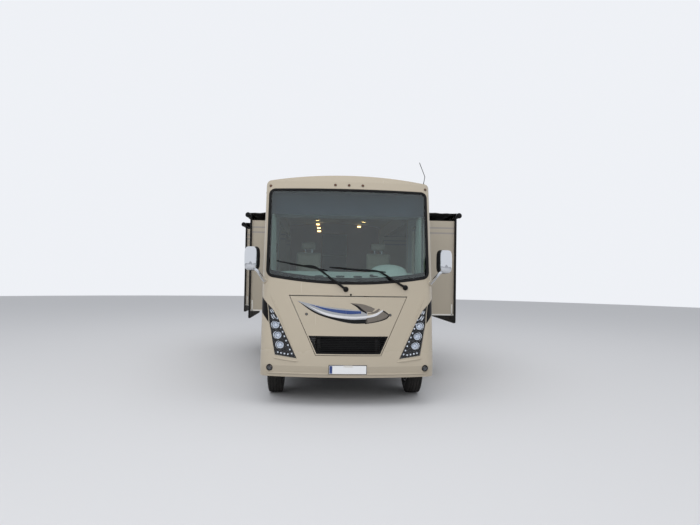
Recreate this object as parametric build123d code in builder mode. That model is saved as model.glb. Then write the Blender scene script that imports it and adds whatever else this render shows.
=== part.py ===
from build123d import *
import os

os.makedirs("parts", exist_ok=True)

# Driving dimensions, in millimetres. X points to the vehicle's left, Y to the rear and Z up. The origin is on
# the ground, under the middle of the vehicle's length and width.
overall_length = 9900
body_width = 2540
wheelbase = 5790
front_overhang = 1050
skirt_height = 400
roof_edge_height = 3300
roof_crown_height = 3400
roof_corner_radius = 90
wall_top = 3150
wall_thickness = 50
roof_thickness = 90
cap_thickness = 45
cap_depth = 850
floor_top = 1137
floor_thickness = 60
rear_wall_thickness = 60
hitch_reach = 120
seam = 0.4
door_gap = 8
sheet = 15

half_width = body_width / 2
inner_half = half_width - wall_thickness
front = -overall_length / 2
cap_back = front + cap_depth
body_back = front + overall_length - hitch_reach
wall_back = body_back - rear_wall_thickness
front_axle_y = front + front_overhang
rear_axle_y = front_axle_y + wheelbase
floor_bottom = floor_top - floor_thickness

# Wheels and tyres.
tyre_radius = 475
tyre_width = 232
rim_radius = 286
rim_width = 210
rim_wall = 12
front_track_half = 1080
rear_outer_half = 1095
rear_inner_half = 805
arch_radius = 600

# Sections of the front mask, bottom to top: height above the ground, set-back of its middle, how far its
# sides lie behind the middle, and corner radius.
FRONT_SECTIONS = [
    (skirt_height, 25, 170, 170),
    (560, 0, 170, 180),
    (1750, 200, 170, 130),
    (3130, 505, 155, 100),
    (3290, 570, 145, 90),
    (3420, 650, 120, 70),
]


def across(y):
    """A plane that faces forward at station y, drawn on in X and Z. A negative extrusion runs to the rear."""
    return Plane(origin=(0, y, 0), x_dir=(1, 0, 0), z_dir=(0, -1, 0))


def beside(x):
    """A plane that faces left at x, drawn on in Y and Z."""
    return Plane(origin=(x, 0, 0), x_dir=(0, 1, 0), z_dir=(1, 0, 0))


def box(x_range, y_range, z_range):
    """A block between two values on each axis."""
    with BuildPart() as block:
        with BuildSketch(Plane.XY.offset(z_range[0])):
            with Locations((sum(x_range) / 2, sum(y_range) / 2)):
                Rectangle(abs(x_range[1] - x_range[0]), abs(y_range[1] - y_range[0]))
        extrude(amount=z_range[1] - z_range[0])
    return block.part


def rod(start, end, radius, end_radius=None):
    """A round bar between two points, tapered where it has an end radius."""
    run = Vector(*end) - Vector(*start)
    base = Plane(origin=start, z_dir=run)
    with BuildPart() as bar:
        with BuildSketch(base):
            Circle(radius)
        if end_radius is None:
            extrude(amount=run.length)
        else:
            with BuildSketch(base.offset(run.length)):
                Circle(end_radius)
            loft()
    return bar.part


def bent_bar(points, radius, bend):
    """A round bar along straight runs joined by arcs."""
    with BuildPart() as bar:
        with BuildLine() as path:
            FilletPolyline(*points, radius=bend)
        with BuildSketch(Plane(origin=path.line @ 0, z_dir=path.line % 0)):
            Circle(radius)
        sweep()
    return bar.part


def plate(outline, x_range):
    """A flat piece with its outline given in Y and Z, between two values of X."""
    with BuildPart() as piece:
        with BuildSketch(beside(min(x_range))):
            with BuildLine():
                Polyline(*outline, close=True)
            make_face()
        extrude(amount=abs(x_range[1] - x_range[0]))
    return piece.part


def rounded_panel(y_range, z_range, x_range, radius):
    """A flat upright panel beside the body, with rounded corners seen from the side."""
    with BuildPart() as panel:
        with BuildSketch(beside(min(x_range))):
            with Locations((sum(y_range) / 2, sum(z_range) / 2)):
                RectangleRounded(y_range[1] - y_range[0], z_range[1] - z_range[0], radius)
        extrude(amount=abs(x_range[1] - x_range[0]))
    return panel.part


def flipped(piece):
    """A piece's mirror image across the middle plane."""
    return mirror(piece, about=Plane.YZ, mode=Mode.PRIVATE)


def joined(*pieces):
    """Several pieces as one part."""
    with BuildPart() as whole:
        for piece in pieces:
            add(piece)
    return whole.part


def cut(piece, *cutters):
    """A piece less one or more others."""
    with BuildPart() as rest:
        add(piece)
        for cutter in cutters:
            add(cutter, mode=Mode.SUBTRACT)
    return rest.part


def shared(piece, other):
    """What two pieces have in common."""
    with BuildPart() as common:
        add(piece)
        add(other, mode=Mode.INTERSECT)
    return common.part


def save(piece, name):
    """Labels a finished piece and writes its STEP file."""
    piece.label = name
    export_step(piece, f"parts/{name}.step")


def body_outline(side_inset, top_inset, y=front):
    """The coach's section seen from ahead: flat sides, crowned roof and rounded upper corners."""
    side = half_width - side_inset
    edge = roof_edge_height - top_inset
    crown = roof_crown_height - top_inset
    with BuildSketch(across(y)) as outline:
        with BuildLine():
            Polyline((-side, edge), (-side, skirt_height), (side, skirt_height), (side, edge))
            ThreePointArc((side, edge), (0, crown), (-side, edge))
        make_face()
        upper = outline.vertices().group_by(Axis.Y)[-1]
        fillet(upper, roof_corner_radius - min(side_inset, top_inset) / 2)
    return outline.sketch


def body_form(side_inset, top_inset, start, end):
    """The coach's section run along Y from start to end."""
    return extrude(body_outline(side_inset, top_inset, start), amount=start - end, mode=Mode.PRIVATE)


def front_form(inset):
    """The front mask as one filled form, taken in by inset all round."""
    outline = extrude(body_outline(inset, inset), amount=-cap_depth, mode=Mode.PRIVATE)
    behind = cap_back + wall_thickness
    with BuildPart() as form:
        for height, set_back, bow, corner in FRONT_SECTIONS:
            side = half_width - inset
            nose = front + set_back + inset
            cheek = nose + bow
            with BuildSketch(Plane.XY.offset(height)) as section:
                with BuildLine():
                    ThreePointArc((-side, cheek), (0, nose), (side, cheek))
                    Polyline((side, cheek), (side, behind), (-side, behind), (-side, cheek))
                make_face()
                fillet(section.vertices().group_by(Axis.Y)[0], corner - inset / 2)
        loft(ruled=True)
        add(outline, mode=Mode.INTERSECT)
    return form.part


def prism(sketch):
    """A sketch drawn at the nose, run to the rear through the front mask."""
    return extrude(sketch, amount=-cap_depth, mode=Mode.PRIVATE)


def polygon(points, spread=0.0):
    """A face at the nose with straight sides from points in X and Z, grown all round by spread."""
    with BuildSketch(across(front)) as face:
        with BuildLine():
            Polyline(*points, close=True)
        make_face()
        if spread:
            offset(amount=spread, kind=Kind.INTERSECTION)
    return face.sketch


def trapezoid(bottom, half_bottom, top, half_top):
    """The corners of an upright trapezoid in X and Z."""
    return [(-half_top, top), (half_top, top), (half_bottom, bottom), (-half_bottom, bottom)]


def screen_face(spread):
    """The windscreen's outline seen from ahead, with a lower edge that dips at its middle."""
    with BuildSketch(across(front)) as face:
        with BuildLine():
            Polyline(
                (-screen_half, screen_bottom),
                (-screen_half, screen_top),
                (screen_half, screen_top),
                (screen_half, screen_bottom),
            )
            lowest = (0, screen_bottom - screen_dip)
            ThreePointArc((screen_half, screen_bottom), lowest, (-screen_half, screen_bottom))
        make_face()
        fillet(face.vertices(), screen_radius)
        if spread:
            offset(amount=spread, kind=Kind.INTERSECTION)
    return face.sketch


def arch(y):
    """The round wheel arch at one axle, cut through the whole width."""
    with BuildPart() as hollow:
        with BuildSketch(beside(-half_width - sheet)):
            with Locations((y, tyre_radius)):
                Circle(arch_radius)
        extrude(amount=body_width + 2 * sheet)
    return hollow.part


# Front openings, seen from ahead: half widths and heights.
screen_half = 1210
screen_top = 3165
screen_bottom = 1838
screen_dip = 105
screen_radius = 85
glass_thickness = 8
glass_recess = 6
hood_top = 1545
hood_half_top = 855
hood_bottom = 716
hood_half_bottom = 465
hood_thickness = 30
hood_skin_thickness = 10
hood_frame_inset = 20
hood_top_gap = 14
hood_pivot_rise = 70
hood_pivot_depth = 80
grille_top = 984
grille_recess = 5
grille_depth = 18
grille_frame = 16
grille_bar = 7
grille_bar_count = 10
lamp_lens_thickness = 6
lamp_pan_thickness = 12
lamp_radius = 50
lamp_wall = 5
HEADLAMP_CORNERS = [
    (1178, 1425),
    (1105, 1355),
    (1010, 1208),
    (735, 662),
    (1050, 704),
    (1080, 845),
    (1118, 1038),
    (1143, 1145),
    (1160, 1320),
]
HEADLAMP_ROUNDS = [(1050, 1123), (1014, 978), (976, 842)]
CORNER_TRIM = [(1300, 1560), (1186, 1432), (1168, 1320), (1156, 1160), (1300, 1345)]

# Small round lamps in the mask: place in X and Z, and radius.
marker_radius = 16
low_lamp_radius = 34
ROUND_LAMPS = [
    (-1200, 3218, marker_radius),
    (-210, 3235, marker_radius),
    (0, 3235, marker_radius),
    (210, 3235, marker_radius),
    (1200, 3218, marker_radius),
    (-1120, 527, low_lamp_radius),
    (1120, 527, low_lamp_radius),
]
lamp_proud = 14
dash_clearance = 60

skin = {
    inset: front_form(inset)
    for inset in (
        0,
        grille_recess,
        glass_recess,
        hood_skin_thickness,
        glass_recess + glass_thickness,
        grille_recess + grille_depth,
        hood_thickness,
        cap_thickness,
        cap_thickness + seam,
        cap_thickness + seam + lamp_pan_thickness,
        dash_clearance,
    )
}


def layer(outer, inner, outline):
    """The part of the front mask between two insets that lies within an outline seen from ahead."""
    return cut(shared(skin[outer], prism(outline)), skin[inner])


def on_skin(x, z):
    """The station Y of the mask's outer face at a place seen from ahead."""
    hits = skin[0].find_intersection_points(Axis((x, front - hitch_reach, z), (0, 1, 0)))
    return min(point.Y for point, normal in hits)


hood_slope = (hood_half_top - hood_half_bottom) / (hood_top - hood_bottom)


def hood_half(z):
    """Half the hood's width at a height."""
    return hood_half_bottom + hood_slope * (z - hood_bottom)


# Front mask: a shell, open to the rear and below, with its windscreen, hood and lamp openings.
hood_outline = trapezoid(hood_bottom, hood_half_bottom, hood_top, hood_half_top)
opening_top = hood_top + hood_top_gap - door_gap
hood_opening = trapezoid(hood_bottom, hood_half_bottom, opening_top, hood_half(opening_top))
headlamp_cut = prism(polygon(HEADLAMP_CORNERS, spread=seam))
corner_cut = prism(polygon(CORNER_TRIM, spread=seam))
lamp_holes = [rod((x, front, z), (x, cap_back, z), radius + seam) for x, z, radius in ROUND_LAMPS]
mask_shell = cut(
    skin[0],
    skin[cap_thickness],
    prism(screen_face(seam)),
    prism(polygon(hood_opening, spread=door_gap)),
    headlamp_cut,
    flipped(headlamp_cut),
    corner_cut,
    flipped(corner_cut),
    *lamp_holes,
    arch(front_axle_y),
)
save(layer(glass_recess, glass_recess + glass_thickness, screen_face(0)), "windshield")

# Headlamps: a pan behind the opening carries three round bowls, and a clear cover closes it flush.
pan_front = cap_thickness + seam
pan_back = pan_front + lamp_pan_thickness
pan = layer(pan_front, pan_back, polygon(HEADLAMP_CORNERS, spread=sheet))
bowls = []
for x, z in HEADLAMP_ROUNDS:
    rim = on_skin(x, z) + lamp_lens_thickness * 4
    tube = rod((x, rim, z), (x, rim + cap_thickness, z), lamp_radius)
    hollow = rod((x, rim, z), (x, rim + lamp_radius / 2, z), lamp_radius - lamp_wall, lamp_radius / 2)
    bowls.append(shared(cut(tube, hollow), cut(skin[0], skin[pan_back])))
headlamp = joined(pan, *bowls)
save(joined(headlamp, flipped(headlamp)), "headlamps")
lens = cut(shared(skin[0], prism(polygon(HEADLAMP_CORNERS))), skin[glass_recess])
save(joined(lens, flipped(lens)), "headlamp_lenses")
trim = layer(0, cap_thickness, polygon(CORNER_TRIM))
save(joined(trim, flipped(trim)), "corner_trims")

lamps = []
for x, z, radius in ROUND_LAMPS:
    face = on_skin(x, z)
    lamps.append(rod((x, face - lamp_proud, z), (x, face + cap_thickness, z), radius))
save(joined(*lamps), "marker_lamps")

# Body shell: side walls, rear cap and roof around the living space.
SLIDES = [
    # name, side, front station, rear station, reach of its fascia from the wall
    ("left_slide", 1, 2350, 6050, 855),
    ("right_front_slide", -1, 3000, 4750, 508),
    ("right_rear_slide", -1, 5000, 7000, 855),
]
slide_bottom = 1150
slide_top = 2920
slide_gap = 7
slide_wall = 40
fascia_thickness = 30
fascia_bottom = 1010
fascia_lip = 45
fascia_radius = 40
slide_overlap = 20

BAYS = [
    # name, side, front station, rear station
    ("left_front_bay_door", 1, 3000, 4300),
    ("left_rear_bay_door", 1, 4600, 5900),
    ("right_front_bay_door", -1, 3000, 4300),
    ("right_rear_bay_door", -1, 4600, 5900),
]
bay_top = 990

door_front = 2060
door_width = 690
door_bottom = 480
door_top = 2440

WINDOWS = [
    # side, front station, rear station, sill height, head height
    (1, 950, 1900, 1760, 2740),
    (-1, 950, 1800, 1760, 2740),
    (1, 6550, 7450, 1800, 2500),
    (1, 8100, 9100, 1800, 2500),
    (-1, 8100, 9100, 1800, 2500),
]
window_radius = 60
window_glass = 6
window_recess = 4
rear_window_half = 560
rear_window_sill = 1850
rear_window_head = 2450


def wall_span(side, offset_out=0.0, offset_in=0.0):
    """The X range of a side wall, moved out or in at its faces."""
    return (side * (inner_half - offset_in), side * (half_width + offset_out))


def stations(start, end, spread=0.0):
    """The Y range between two stations measured from the nose."""
    return (front + start - spread, front + end + spread)


window_cuts = {1: [], -1: []}
window_panes = []
for side, start, end, sill, head in WINDOWS:
    outer = side * (half_width - window_recess)
    window_y, window_z = stations(start, end), (sill, head)
    pane_x = (outer - side * window_glass, outer)
    window_cuts[side].append(rounded_panel(window_y, window_z, wall_span(side, sheet, sheet), window_radius))
    window_panes.append(rounded_panel(window_y, window_z, pane_x, window_radius))

bay_hole_low = skirt_height - sheet
for name, side, start, end in BAYS:
    bay_z = (bay_hole_low, bay_top + door_gap)
    window_cuts[side].append(box(wall_span(side, sheet, sheet), stations(start, end, door_gap), bay_z))
for name, side, start, end, reach in SLIDES:
    z_range = (slide_bottom - slide_gap, slide_top + slide_gap)
    window_cuts[side].append(box(wall_span(side, sheet, sheet), stations(start, end, slide_gap), z_range))
door_y = stations(door_front, door_front + door_width, door_gap)
doorway = box(wall_span(-1, sheet, sheet), door_y, (door_bottom - door_gap, door_top + door_gap))
window_cuts[-1].append(doorway)

# Hinges: a barrel in two halves, one on the frame and one on the door, each on a strap.
hinge_radius = 8
hinge_length = 60
strap_thickness = 5
strap_width = 34


def side_hinge(side, y, z, towards):
    """An upright hinge on a side wall: the fixed half and the moving half. The door lies towards +Y or -Y."""
    x = side * (half_width + hinge_radius)
    plate_x = (side * half_width, side * (half_width + strap_thickness))
    low, high = z - hinge_length / 2, z + hinge_length / 2
    halves = []
    for way, z_range in ((-towards, (low, z - seam / 2)), (towards, (z + seam / 2, high))):
        barrel = rod((x, y, z_range[0]), (x, y, z_range[1]), hinge_radius)
        strap = box(plate_x, sorted((y, y + way * strap_width)), z_range)
        halves.append(joined(barrel, strap))
    return halves


hinge_parts = {}
for name, side, start, end in BAYS:
    y = front + start - door_gap / 2
    pairs = [side_hinge(side, y, z, 1) for z in (skirt_height + 120, bay_top - 120)]
    hinge_parts[name] = pairs
door_hinge_y = front + door_front - door_gap / 2
DOOR_HINGE_HEIGHTS = (700, 1450, 2200)
hinge_parts["entry_door"] = [side_hinge(-1, door_hinge_y, z, 1) for z in DOOR_HINGE_HEIGHTS]
fixed_hinges = {1: [], -1: []}
for name, side, start, end in BAYS:
    fixed_hinges[side] += [pair[0] for pair in hinge_parts[name]]
fixed_hinges[-1] += [pair[0] for pair in hinge_parts["entry_door"]]

for name, side in (("left_wall", 1), ("right_wall", -1)):
    panel = box(wall_span(side), (cap_back, wall_back), (skirt_height, wall_top))
    cutters = [arch(front_axle_y), arch(rear_axle_y), *window_cuts[side]]
    save(joined(cut(panel, *cutters), *fixed_hinges[side]), name)

tail_lamp_x = 1120
tail_lamp_radius = 55
tail_lamp_depth = 20
TAIL_LAMPS = (1150, 1290, 1430)
rear_hole = box(
    (-rear_window_half, rear_window_half),
    (wall_back - sheet, body_back + sheet),
    (rear_window_sill, rear_window_head),
)
hitch_notch_half = 90
hitch_notch_top = 640
hitch_notch = box(
    (-hitch_notch_half, hitch_notch_half),
    (wall_back - sheet, body_back + sheet),
    (skirt_height - sheet, hitch_notch_top),
)
with BuildPart() as rear_wall:
    add(body_form(0, 0, wall_back, body_back))
    fillet(rear_wall.faces().sort_by(Axis.Y)[-1].edges(), wall_thickness * 0.8)
    add(rear_hole, mode=Mode.SUBTRACT)
    add(hitch_notch, mode=Mode.SUBTRACT)
    for x in (-tail_lamp_x, tail_lamp_x):
        for z in TAIL_LAMPS:
            ends = [(x, y, z) for y in (body_back - tail_lamp_depth, body_back + sheet)]
            add(rod(*ends, tail_lamp_radius + seam), mode=Mode.SUBTRACT)
save(rear_wall.part, "rear_wall")
tail_lamps = [
    rod((x, body_back - tail_lamp_depth, z), (x, body_back + lamp_proud, z), tail_lamp_radius)
    for x in (-tail_lamp_x, tail_lamp_x)
    for z in TAIL_LAMPS
]
save(joined(*tail_lamps), "tail_lamps")
rear_pane = box(
    (-rear_window_half, rear_window_half),
    (body_back - window_recess - window_glass, body_back - window_recess),
    (rear_window_sill, rear_window_head),
)
save(joined(rear_pane, *window_panes), "coach_glass")

above_walls = box((-half_width, half_width), (cap_back, wall_back), (wall_top, roof_crown_height))
roof_shell = cut(
    shared(body_form(0, 0, cap_back, wall_back), above_walls),
    body_form(wall_thickness, roof_thickness, cap_back - sheet, wall_back + sheet),
)
save(roof_shell, "roof")

# Floor on cross joists, with a well for the entry steps and an upright firewall ahead of the cab.
firewall_station = 470
firewall_half = 380
firewall_bottom = 620
firewall_top = 1200
step_depth = 420
rail_top = 950
joist_width = 50
JOISTS = [
    # station, half length
    (600, 600),
    (1050, 600),
    (1700, 600),
    (2900, 1150),
    (4450, 1150),
    (6050, 1150),
    (7700, 1150),
    (8450, 1150),
    (9200, 1150),
]
step_y = stations(door_front, door_front + door_width)
floor_slab = cut(
    box((-inner_half, inner_half), (front + firewall_station, wall_back), (floor_bottom, floor_top)),
    box((-inner_half - sheet, -inner_half + step_depth), step_y, (rail_top, floor_top + sheet)),
)
joists = [
    box((-half, half), stations(at - joist_width / 2, at + joist_width / 2), (rail_top, floor_bottom))
    for at, half in JOISTS
]
firewall_y = stations(firewall_station, firewall_station + sheet)
firewall = box((-firewall_half, firewall_half), firewall_y, (firewall_bottom, firewall_top))
pads = []
pad_length = 120
for name, side, start, end, reach in SLIDES:
    for at in (start + 2 * pad_length, (start + end) / 2, end - 2 * pad_length):
        x_range = (side * (inner_half - 3 * pad_length), side * inner_half)
        y_range = stations(at - pad_length / 2, at + pad_length / 2)
        pads.append(box(x_range, y_range, (floor_top, slide_bottom - seam)))
save(joined(floor_slab, *joists, firewall, *pads), "floor")

# Doors: each fills its hole in the wall less the gap all round.
for name, side, start, end in BAYS:
    leaf = box(wall_span(side), stations(start, end), (skirt_height, bay_top))
    save(joined(leaf, *[pair[1] for pair in hinge_parts[name]]), name)

door_pane_margin = 130
door_pane_sill = 1780
door_pane_head = 2280
pane_y = stations(door_front + door_pane_margin, door_front + door_width - door_pane_margin)
pane_z = (door_pane_sill, door_pane_head)
door_leaf = cut(
    box(wall_span(-1), step_y, (door_bottom, door_top)),
    rounded_panel(pane_y, pane_z, wall_span(-1, sheet, sheet), window_radius),
)
save(joined(door_leaf, *[pair[1] for pair in hinge_parts["entry_door"]]), "entry_door")
pane_x = -half_width + window_recess
save(rounded_panel(pane_y, pane_z, (pane_x, pane_x + window_glass), window_radius), "entry_door_glass")

# Hood: the mask's own skin between the lamps on a frame set in from its edges, with a slatted grille in its
# lower part. It turns on two goosenecks that reach round the mask's lower edge to pivots behind it.
grille_bottom = hood_bottom + grille_frame
grille_outline = trapezoid(
    grille_bottom, hood_half(grille_bottom) - grille_frame, grille_top, hood_half(grille_top) - grille_frame
)
hinge_x = 250
hinge_y = on_skin(0, hood_top) + hood_pivot_depth
hinge_z = hood_top + hood_pivot_rise
arm_width = 24
arm_radius = 104
arm_thickness = 14
arm_angles = (-38, 75)
lug_half = 8


def gooseneck(x_range):
    """An arm from the pivot to the rear, then round it to the hood. Angles start at straight down."""
    start, end = [angle - 90 for angle in arm_angles]
    with BuildPart() as arm:
        with BuildSketch(beside(x_range[0])):
            with BuildLine():
                outer = CenterArc((hinge_y, hinge_z), arm_radius + arm_thickness / 2, start, end - start)
                inner = CenterArc((hinge_y, hinge_z), arm_radius - arm_thickness / 2, start, end - start)
                Line(outer @ 0, inner @ 0)
                Line(outer @ 1, inner @ 1)
            make_face()
            with Locations((hinge_y, hinge_z)):
                Circle(lug_half)
                Rectangle(arm_radius, arm_thickness, rotation=end, align=(Align.MIN, Align.CENTER))
        extrude(amount=x_range[1] - x_range[0])
    return arm.part


hood_arms = []
mask_lugs = []
hinge_pockets = []
for side in (-1, 1):
    arm_x = sorted((side * (hinge_x - arm_width / 2), side * (hinge_x + arm_width / 2)))
    lug_x = sorted((side * (hinge_x + arm_width / 2 + seam), side * (hinge_x + 1.5 * arm_width)))
    pocket_x = (side * (hinge_x - arm_width), side * (hinge_x + 2 * arm_width))
    hood_arms.append(gooseneck(arm_x))
    ends = [(at, hinge_y, hinge_z) for at in lug_x]
    lug_y = (on_skin(hinge_x, hinge_z) + cap_thickness / 2, hinge_y)
    lug = box(lug_x, lug_y, (hinge_z - lug_half, hinge_z + lug_half))
    mask_lugs.append(joined(rod(*ends, lug_half), lug))
    pocket_z = (hinge_z - arm_radius - 2 * arm_thickness, hinge_z + 2 * lug_half)
    hinge_pockets.append(box(pocket_x, (front, hinge_y + arm_radius + arm_thickness), pocket_z))
hood_inner = prism(polygon(hood_outline, spread=-hood_frame_inset))
hood_rim = cut(prism(polygon(hood_outline, spread=sheet)), hood_inner)
hood_panel = cut(
    layer(0, hood_thickness, polygon(hood_outline)),
    shared(hood_rim, skin[hood_skin_thickness]),
    prism(polygon(grille_outline)),
)
save(joined(hood_panel, *hood_arms), "hood")
save(joined(mask_shell, *mask_lugs), "front_cap")

bar_pitch = (grille_top - grille_bottom) / grille_bar_count
slot_height = bar_pitch - grille_bar
slots = []
for index in range(grille_bar_count):
    low = grille_bottom + bar_pitch * index + grille_bar / 2
    slots.append(box((-hood_half_top, hood_half_top), (front, cap_back), (low, low + slot_height)))
slot_area = prism(polygon(grille_outline, spread=-grille_frame))
grille_block = layer(grille_recess, grille_recess + grille_depth, polygon(grille_outline))
save(cut(grille_block, shared(joined(*slots), slot_area)), "grille")

# Slide rooms: an open-ended box through the wall, closed at its outer end by a fascia with a lip all round.
roller_radius = 42
cap_radius = 50
cap_width = 14
roller_out = 50
roller_drop = 5
fabric_thickness = 4
fabric_rise = 40
rail_size = 22
slide_windows = {
    # slide: front station, rear station, sill, head of each window
    "left_slide": [(2700, 3900, 1800, 2550), (4550, 5650, 1950, 2550)],
    "right_front_slide": [(3250, 4500, 1850, 2500)],
    "right_rear_slide": [],
}
roller_z = slide_top + fascia_lip + cap_radius + roller_drop
fabrics = []
for name, side, start, end, reach in SLIDES:
    fascia_out = half_width + reach
    fascia_in = fascia_out - fascia_thickness
    inner_end = inner_half - slide_overlap
    room_y = stations(start, end)
    outer_box = box((side * inner_end, side * fascia_in), room_y, (slide_bottom, slide_top))
    hollow = box(
        (side * (inner_end - sheet), side * (fascia_in - slide_wall)),
        stations(start, end, -slide_wall),
        (slide_bottom + slide_wall, slide_top - slide_wall),
    )
    fascia_y = stations(start, end, fascia_lip)
    fascia_z = (fascia_bottom, slide_top + fascia_lip)
    fascia_x = (side * fascia_in, side * fascia_out)
    room = joined(cut(outer_box, hollow), rounded_panel(fascia_y, fascia_z, fascia_x, fascia_radius))
    panes = []
    holes = []
    for first, last, sill, head in slide_windows[name]:
        cut_x = (side * (fascia_in - slide_wall - sheet), side * (fascia_out + sheet))
        holes.append(rounded_panel(stations(first, last), (sill, head), cut_x, window_radius))
        pane_out = side * (fascia_out - window_recess)
        pane_in = side * (fascia_out - window_recess - window_glass)
        panes.append(rounded_panel(stations(first, last), (sill, head), (pane_in, pane_out), window_radius))
    if holes:
        room = cut(room, *holes)
        save(joined(*panes), f"{name}_glass")
    save(room, name)

    roller_x = side * (fascia_out + roller_out)
    roller_y = stations(start, end, fascia_lip)
    tube = rod((roller_x, roller_y[0], roller_z), (roller_x, roller_y[1], roller_z), roller_radius)
    roller_parts = [tube]
    for y, way in ((roller_y[0], 1), (roller_y[1], -1)):
        edge = y + way * cap_width
        roller_parts.append(rod((roller_x, y, roller_z), (roller_x, edge, roller_z), cap_radius))
        foot_x = side * fascia_in
        with BuildPart() as arm:
            with BuildSketch(across(y)):
                with BuildLine():
                    Polyline(
                        (foot_x, slide_top + fascia_lip),
                        (side * fascia_out, slide_top + fascia_lip),
                        (roller_x, roller_z - cap_radius / 2),
                        (roller_x, roller_z + cap_radius / 2),
                        (foot_x, roller_z),
                        close=True,
                    )
                make_face()
            extrude(amount=-way * cap_width)
        roller_parts.append(arm.part)
    save(joined(*roller_parts), f"{name}_topper")

    rail_z = roller_z + roller_radius + fabric_rise
    fabric_y = stations(start, end, fascia_lip - 2 * cap_width)
    rail = box((side * half_width, side * (half_width + rail_size)), fabric_y, (rail_z - rail_size, rail_z))
    wall_edge = side * (half_width + rail_size / 2)
    with BuildPart() as sheeting:
        with BuildSketch(across(fabric_y[0])):
            with BuildLine():
                Polyline(
                    (wall_edge, rail_z - fabric_thickness),
                    (roller_x, roller_z + roller_radius + seam),
                    (roller_x, roller_z + roller_radius + seam + fabric_thickness),
                    (wall_edge, rail_z),
                    close=True,
                )
            make_face()
        extrude(amount=fabric_y[0] - fabric_y[1])
    fabrics.append(joined(rail, sheeting.part))
save(joined(*fabrics), "topper_fabrics")

# Chassis: two channel rails under the joists, cross members, and a square hitch receiver at the rear.
rail_half = 430
rail_height = 230
rail_flange = 80
rail_web = 9
rail_front_station = 330
rail_rear_station = 9600
rail_bottom = rail_top - rail_height
rail_outer = rail_half + rail_flange / 2
rail_inner = rail_half - rail_flange / 2
cross_radius = 40
cross_height = 845
CROSS_STATIONS = (390, 2600, 4900, 7500, 9400)
receiver_outer = 64
receiver_bore = 50.8
receiver_length = 420
receiver_z = 560
receiver_pin = 15.9
receiver_pin_inset = 65
receiver_beam = 76

# Axles and springs: heights of the beams and the springs that seat on them.
spring_half = 650
spring_width = 76
spring_eye = 22
spring_eye_drop = 30
spring_thick = 50
spring_tip = 12
bracket_width = 10
axle_beam_half = 885
axle_beam_width = 90
axle_beam_bottom = 430
axle_beam_top = 520
axle_web_recess = 30
rear_tube_radius = 60
spring_pad = 10
rear_spring_bottom = tyre_radius + rear_tube_radius + spring_pad
SPRINGS = [
    # axle station Y, height of the spring's underside at the axle
    (front_axle_y, axle_beam_top),
    (rear_axle_y, rear_spring_bottom),
]
eye_z = rail_bottom - spring_eye_drop

frame_parts = []
rail_y = stations(rail_front_station, rail_rear_station)
for side in (-1, 1):
    with BuildPart() as rail:
        with BuildSketch(across(rail_y[0])):
            with Locations((side * rail_half, (rail_bottom + rail_top) / 2)):
                Rectangle(rail_flange, rail_height)
            with Locations((side * (rail_half - rail_web), (rail_bottom + rail_top) / 2)):
                Rectangle(rail_flange, rail_height - 2 * rail_web, mode=Mode.SUBTRACT)
        extrude(amount=rail_y[0] - rail_y[1])
    frame_parts.append(rail.part)
    for axle_y, under in SPRINGS:
        for way in (-1, 1):
            y = axle_y + way * spring_half
            for edge in (-1, 1):
                inner = side * rail_half + edge * (spring_width / 2 + seam)
                x_range = sorted((inner, inner + edge * bracket_width))
                z_range = (eye_z - spring_eye, rail_bottom + rail_web)
                frame_parts.append(box(x_range, (y - 2 * spring_eye, y + 2 * spring_eye), z_range))
member_half = rail_outer - rail_web / 2
for at in CROSS_STATIONS:
    y = front + at
    frame_parts.append(rod((-member_half, y, cross_height), (member_half, y, cross_height), cross_radius))

receiver_back = body_back + hitch_reach
receiver_half = receiver_outer / 2
receiver_heights = (receiver_z - receiver_half, receiver_z + receiver_half)
beam_y = (receiver_back - receiver_length, receiver_back - receiver_length + receiver_beam)
frame_parts.append(box((-rail_outer, rail_outer), beam_y, receiver_heights))
frame_parts.append(box((-receiver_half, receiver_half), (beam_y[0], receiver_back), receiver_heights))
for side in (-1, 1):
    x_range = (side * (rail_half + rail_flange / 4), side * rail_outer)
    frame_parts.append(box(x_range, beam_y, (receiver_heights[0], rail_bottom + rail_web)))
bore_half = receiver_bore / 2
bore_depth = receiver_length - receiver_beam - sheet
socket = box(
    (-bore_half, bore_half),
    (receiver_back - bore_depth, receiver_back + sheet),
    (receiver_z - bore_half, receiver_z + bore_half),
)
pin_y = receiver_back - receiver_pin_inset
pin_hole = rod((-receiver_outer, pin_y, receiver_z), (receiver_outer, pin_y, receiver_z), receiver_pin / 2)
save(cut(joined(*frame_parts), socket, pin_hole), "chassis_frame")

springs = []
for axle_y, under in SPRINGS:
    for side in (-1, 1):
        inner = side * rail_half - spring_width / 2
        tip_z = eye_z - spring_eye / 2
        with BuildPart() as spring:
            with BuildSketch(beside(inner)):
                with BuildLine():
                    left, right = axle_y - spring_half, axle_y + spring_half
                    tip_top = tip_z + spring_tip
                    ThreePointArc((left, tip_top), (axle_y, under + spring_thick), (right, tip_top))
                    Line((right, tip_top), (right, tip_z))
                    ThreePointArc((right, tip_z), (axle_y, under), (left, tip_z))
                    Line((left, tip_z), (left, tip_top))
                make_face()
            extrude(amount=spring_width)
            for y in (left, right):
                add(rod((inner, y, eye_z), (inner + spring_width, y, eye_z), spring_eye))
        springs.append(spring.part)
save(joined(*springs), "leaf_springs")

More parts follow.
